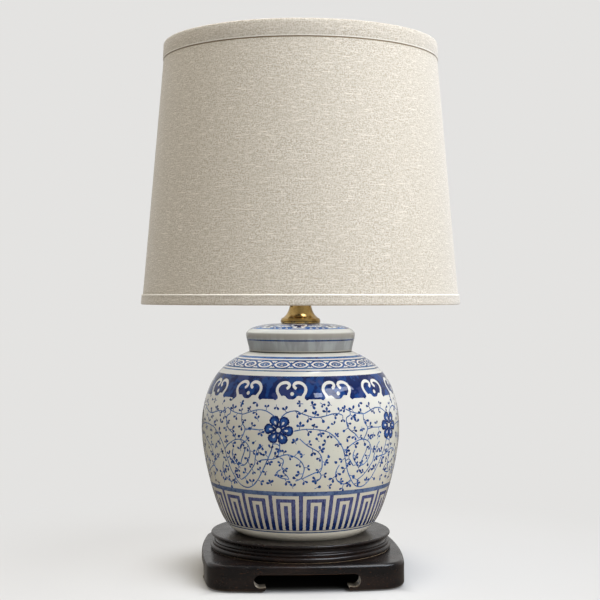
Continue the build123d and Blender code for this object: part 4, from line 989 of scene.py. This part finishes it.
def folded(name, profile):
    """A closed band round the shade. profile goes round its section, in millimetres: radius and
    height. The cloth pulls in and out a little, as glued by hand."""
    bpy.ops.object.select_all(action="DESELECT")
    bpy.ops.mesh.primitive_circle_add(vertices=256, radius=profile[0][0] * mm,
                                      location=(0, 0, profile[0][1] * mm))
    piece = bpy.context.active_object
    piece.name = name
    bpy.ops.object.transform_apply(location=True)
    bpy.ops.object.mode_set(mode="EDIT")
    bpy.ops.mesh.select_all(action="SELECT")
    for before, here in zip(profile, profile[1:]):
        bpy.ops.mesh.extrude_edges_move()
        grown = here[0] / before[0]
        bpy.ops.transform.resize(value=(grown, grown, 1), center_override=(0, 0, 0))
        bpy.ops.transform.translate(value=(0, 0, (here[1] - before[1]) * mm))
    bpy.ops.mesh.select_all(action="DESELECT")
    bpy.ops.mesh.select_mode(type="EDGE")
    bpy.ops.mesh.select_non_manifold()
    bpy.ops.mesh.bridge_edge_loops()
    bpy.ops.mesh.select_all(action="SELECT")
    bpy.ops.mesh.normals_make_consistent(inside=False)
    bpy.ops.object.mode_set(mode="OBJECT")
    for point in piece.data.vertices:
        pull = pull_depth * noise.noise(point.co * pulls)
        point.co += Vector((point.co.x, point.co.y, 0)).normalized() * pull + Vector((0, 0, pull))
    wrap(piece, profile[0][0] * mm)
    bpy.ops.object.shade_smooth_by_angle(angle=math.radians(50))
    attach(piece, "shade")
    return piece


top, low_edge = shade_high / mm, head_low / mm
top_trim = folded("shade_top_band", [
    (163.95, low_edge + 0.2), (164.25, low_edge + 0.15), (164.5, low_edge + 0.9), (163.9, top - 4),
    (163.7, top - 1.5), (163.2, top - 0.45), (162.3, top - 0.05), (160, top), (157.5, top - 0.1),
    (157.3, top - 0.5), (158, top - 0.55), (162.15, top - 0.55), (162.25, top - 1.2)])
trim_cloth, tree, shader, base = woven("top trim linen", *trim_linen)
# Painted highlight: a pale line along the top trim's lower edge.
paint(shader, stripe(tree, head_low + 0.0003, head_low + 0.0012, 0.55), base, (0.78, 0.74, 0.66))
top_trim.data.materials.append(trim_cloth)
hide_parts("shade_top_trim")

low = shade_low / mm
bottom_trim = folded("shade_bottom_band", [
    (188.45, low + 12.1), (189.3, low + 12.15), (189.95, low + 11.7), (190.05, low + 10.9),
    (189.85, low + 9.8), (190.3, low + 5), (190.7, low + 1.5), (190.4, low + 0.45), (189.4, low + 0.05),
    (187, low), (184.6, low + 0.1), (184.4, low + 0.5), (185.5, low + 0.55), (189.25, low + 0.55),
    (189.35, low + 1.2)])
trim_cloth, tree, shader, base = woven("lower trim linen", *trim_linen)
# Painted highlight: a pale line along the fold at the lower trim's upper edge.
base = tint(tree, stripe(tree, shade_low + 0.0109, shade_low + 0.0125, 0.7), base, (0.84, 0.81, 0.74))
# Painted shade: a brown line along the lower trim's bottom edge, where it turns under.
paint(shader, stripe(tree, shade_low - 0.001, shade_low + 0.0007, 0.75), base, (0.27, 0.2, 0.12))
bottom_trim.data.materials.append(trim_cloth)
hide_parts("shade_bottom_trim")
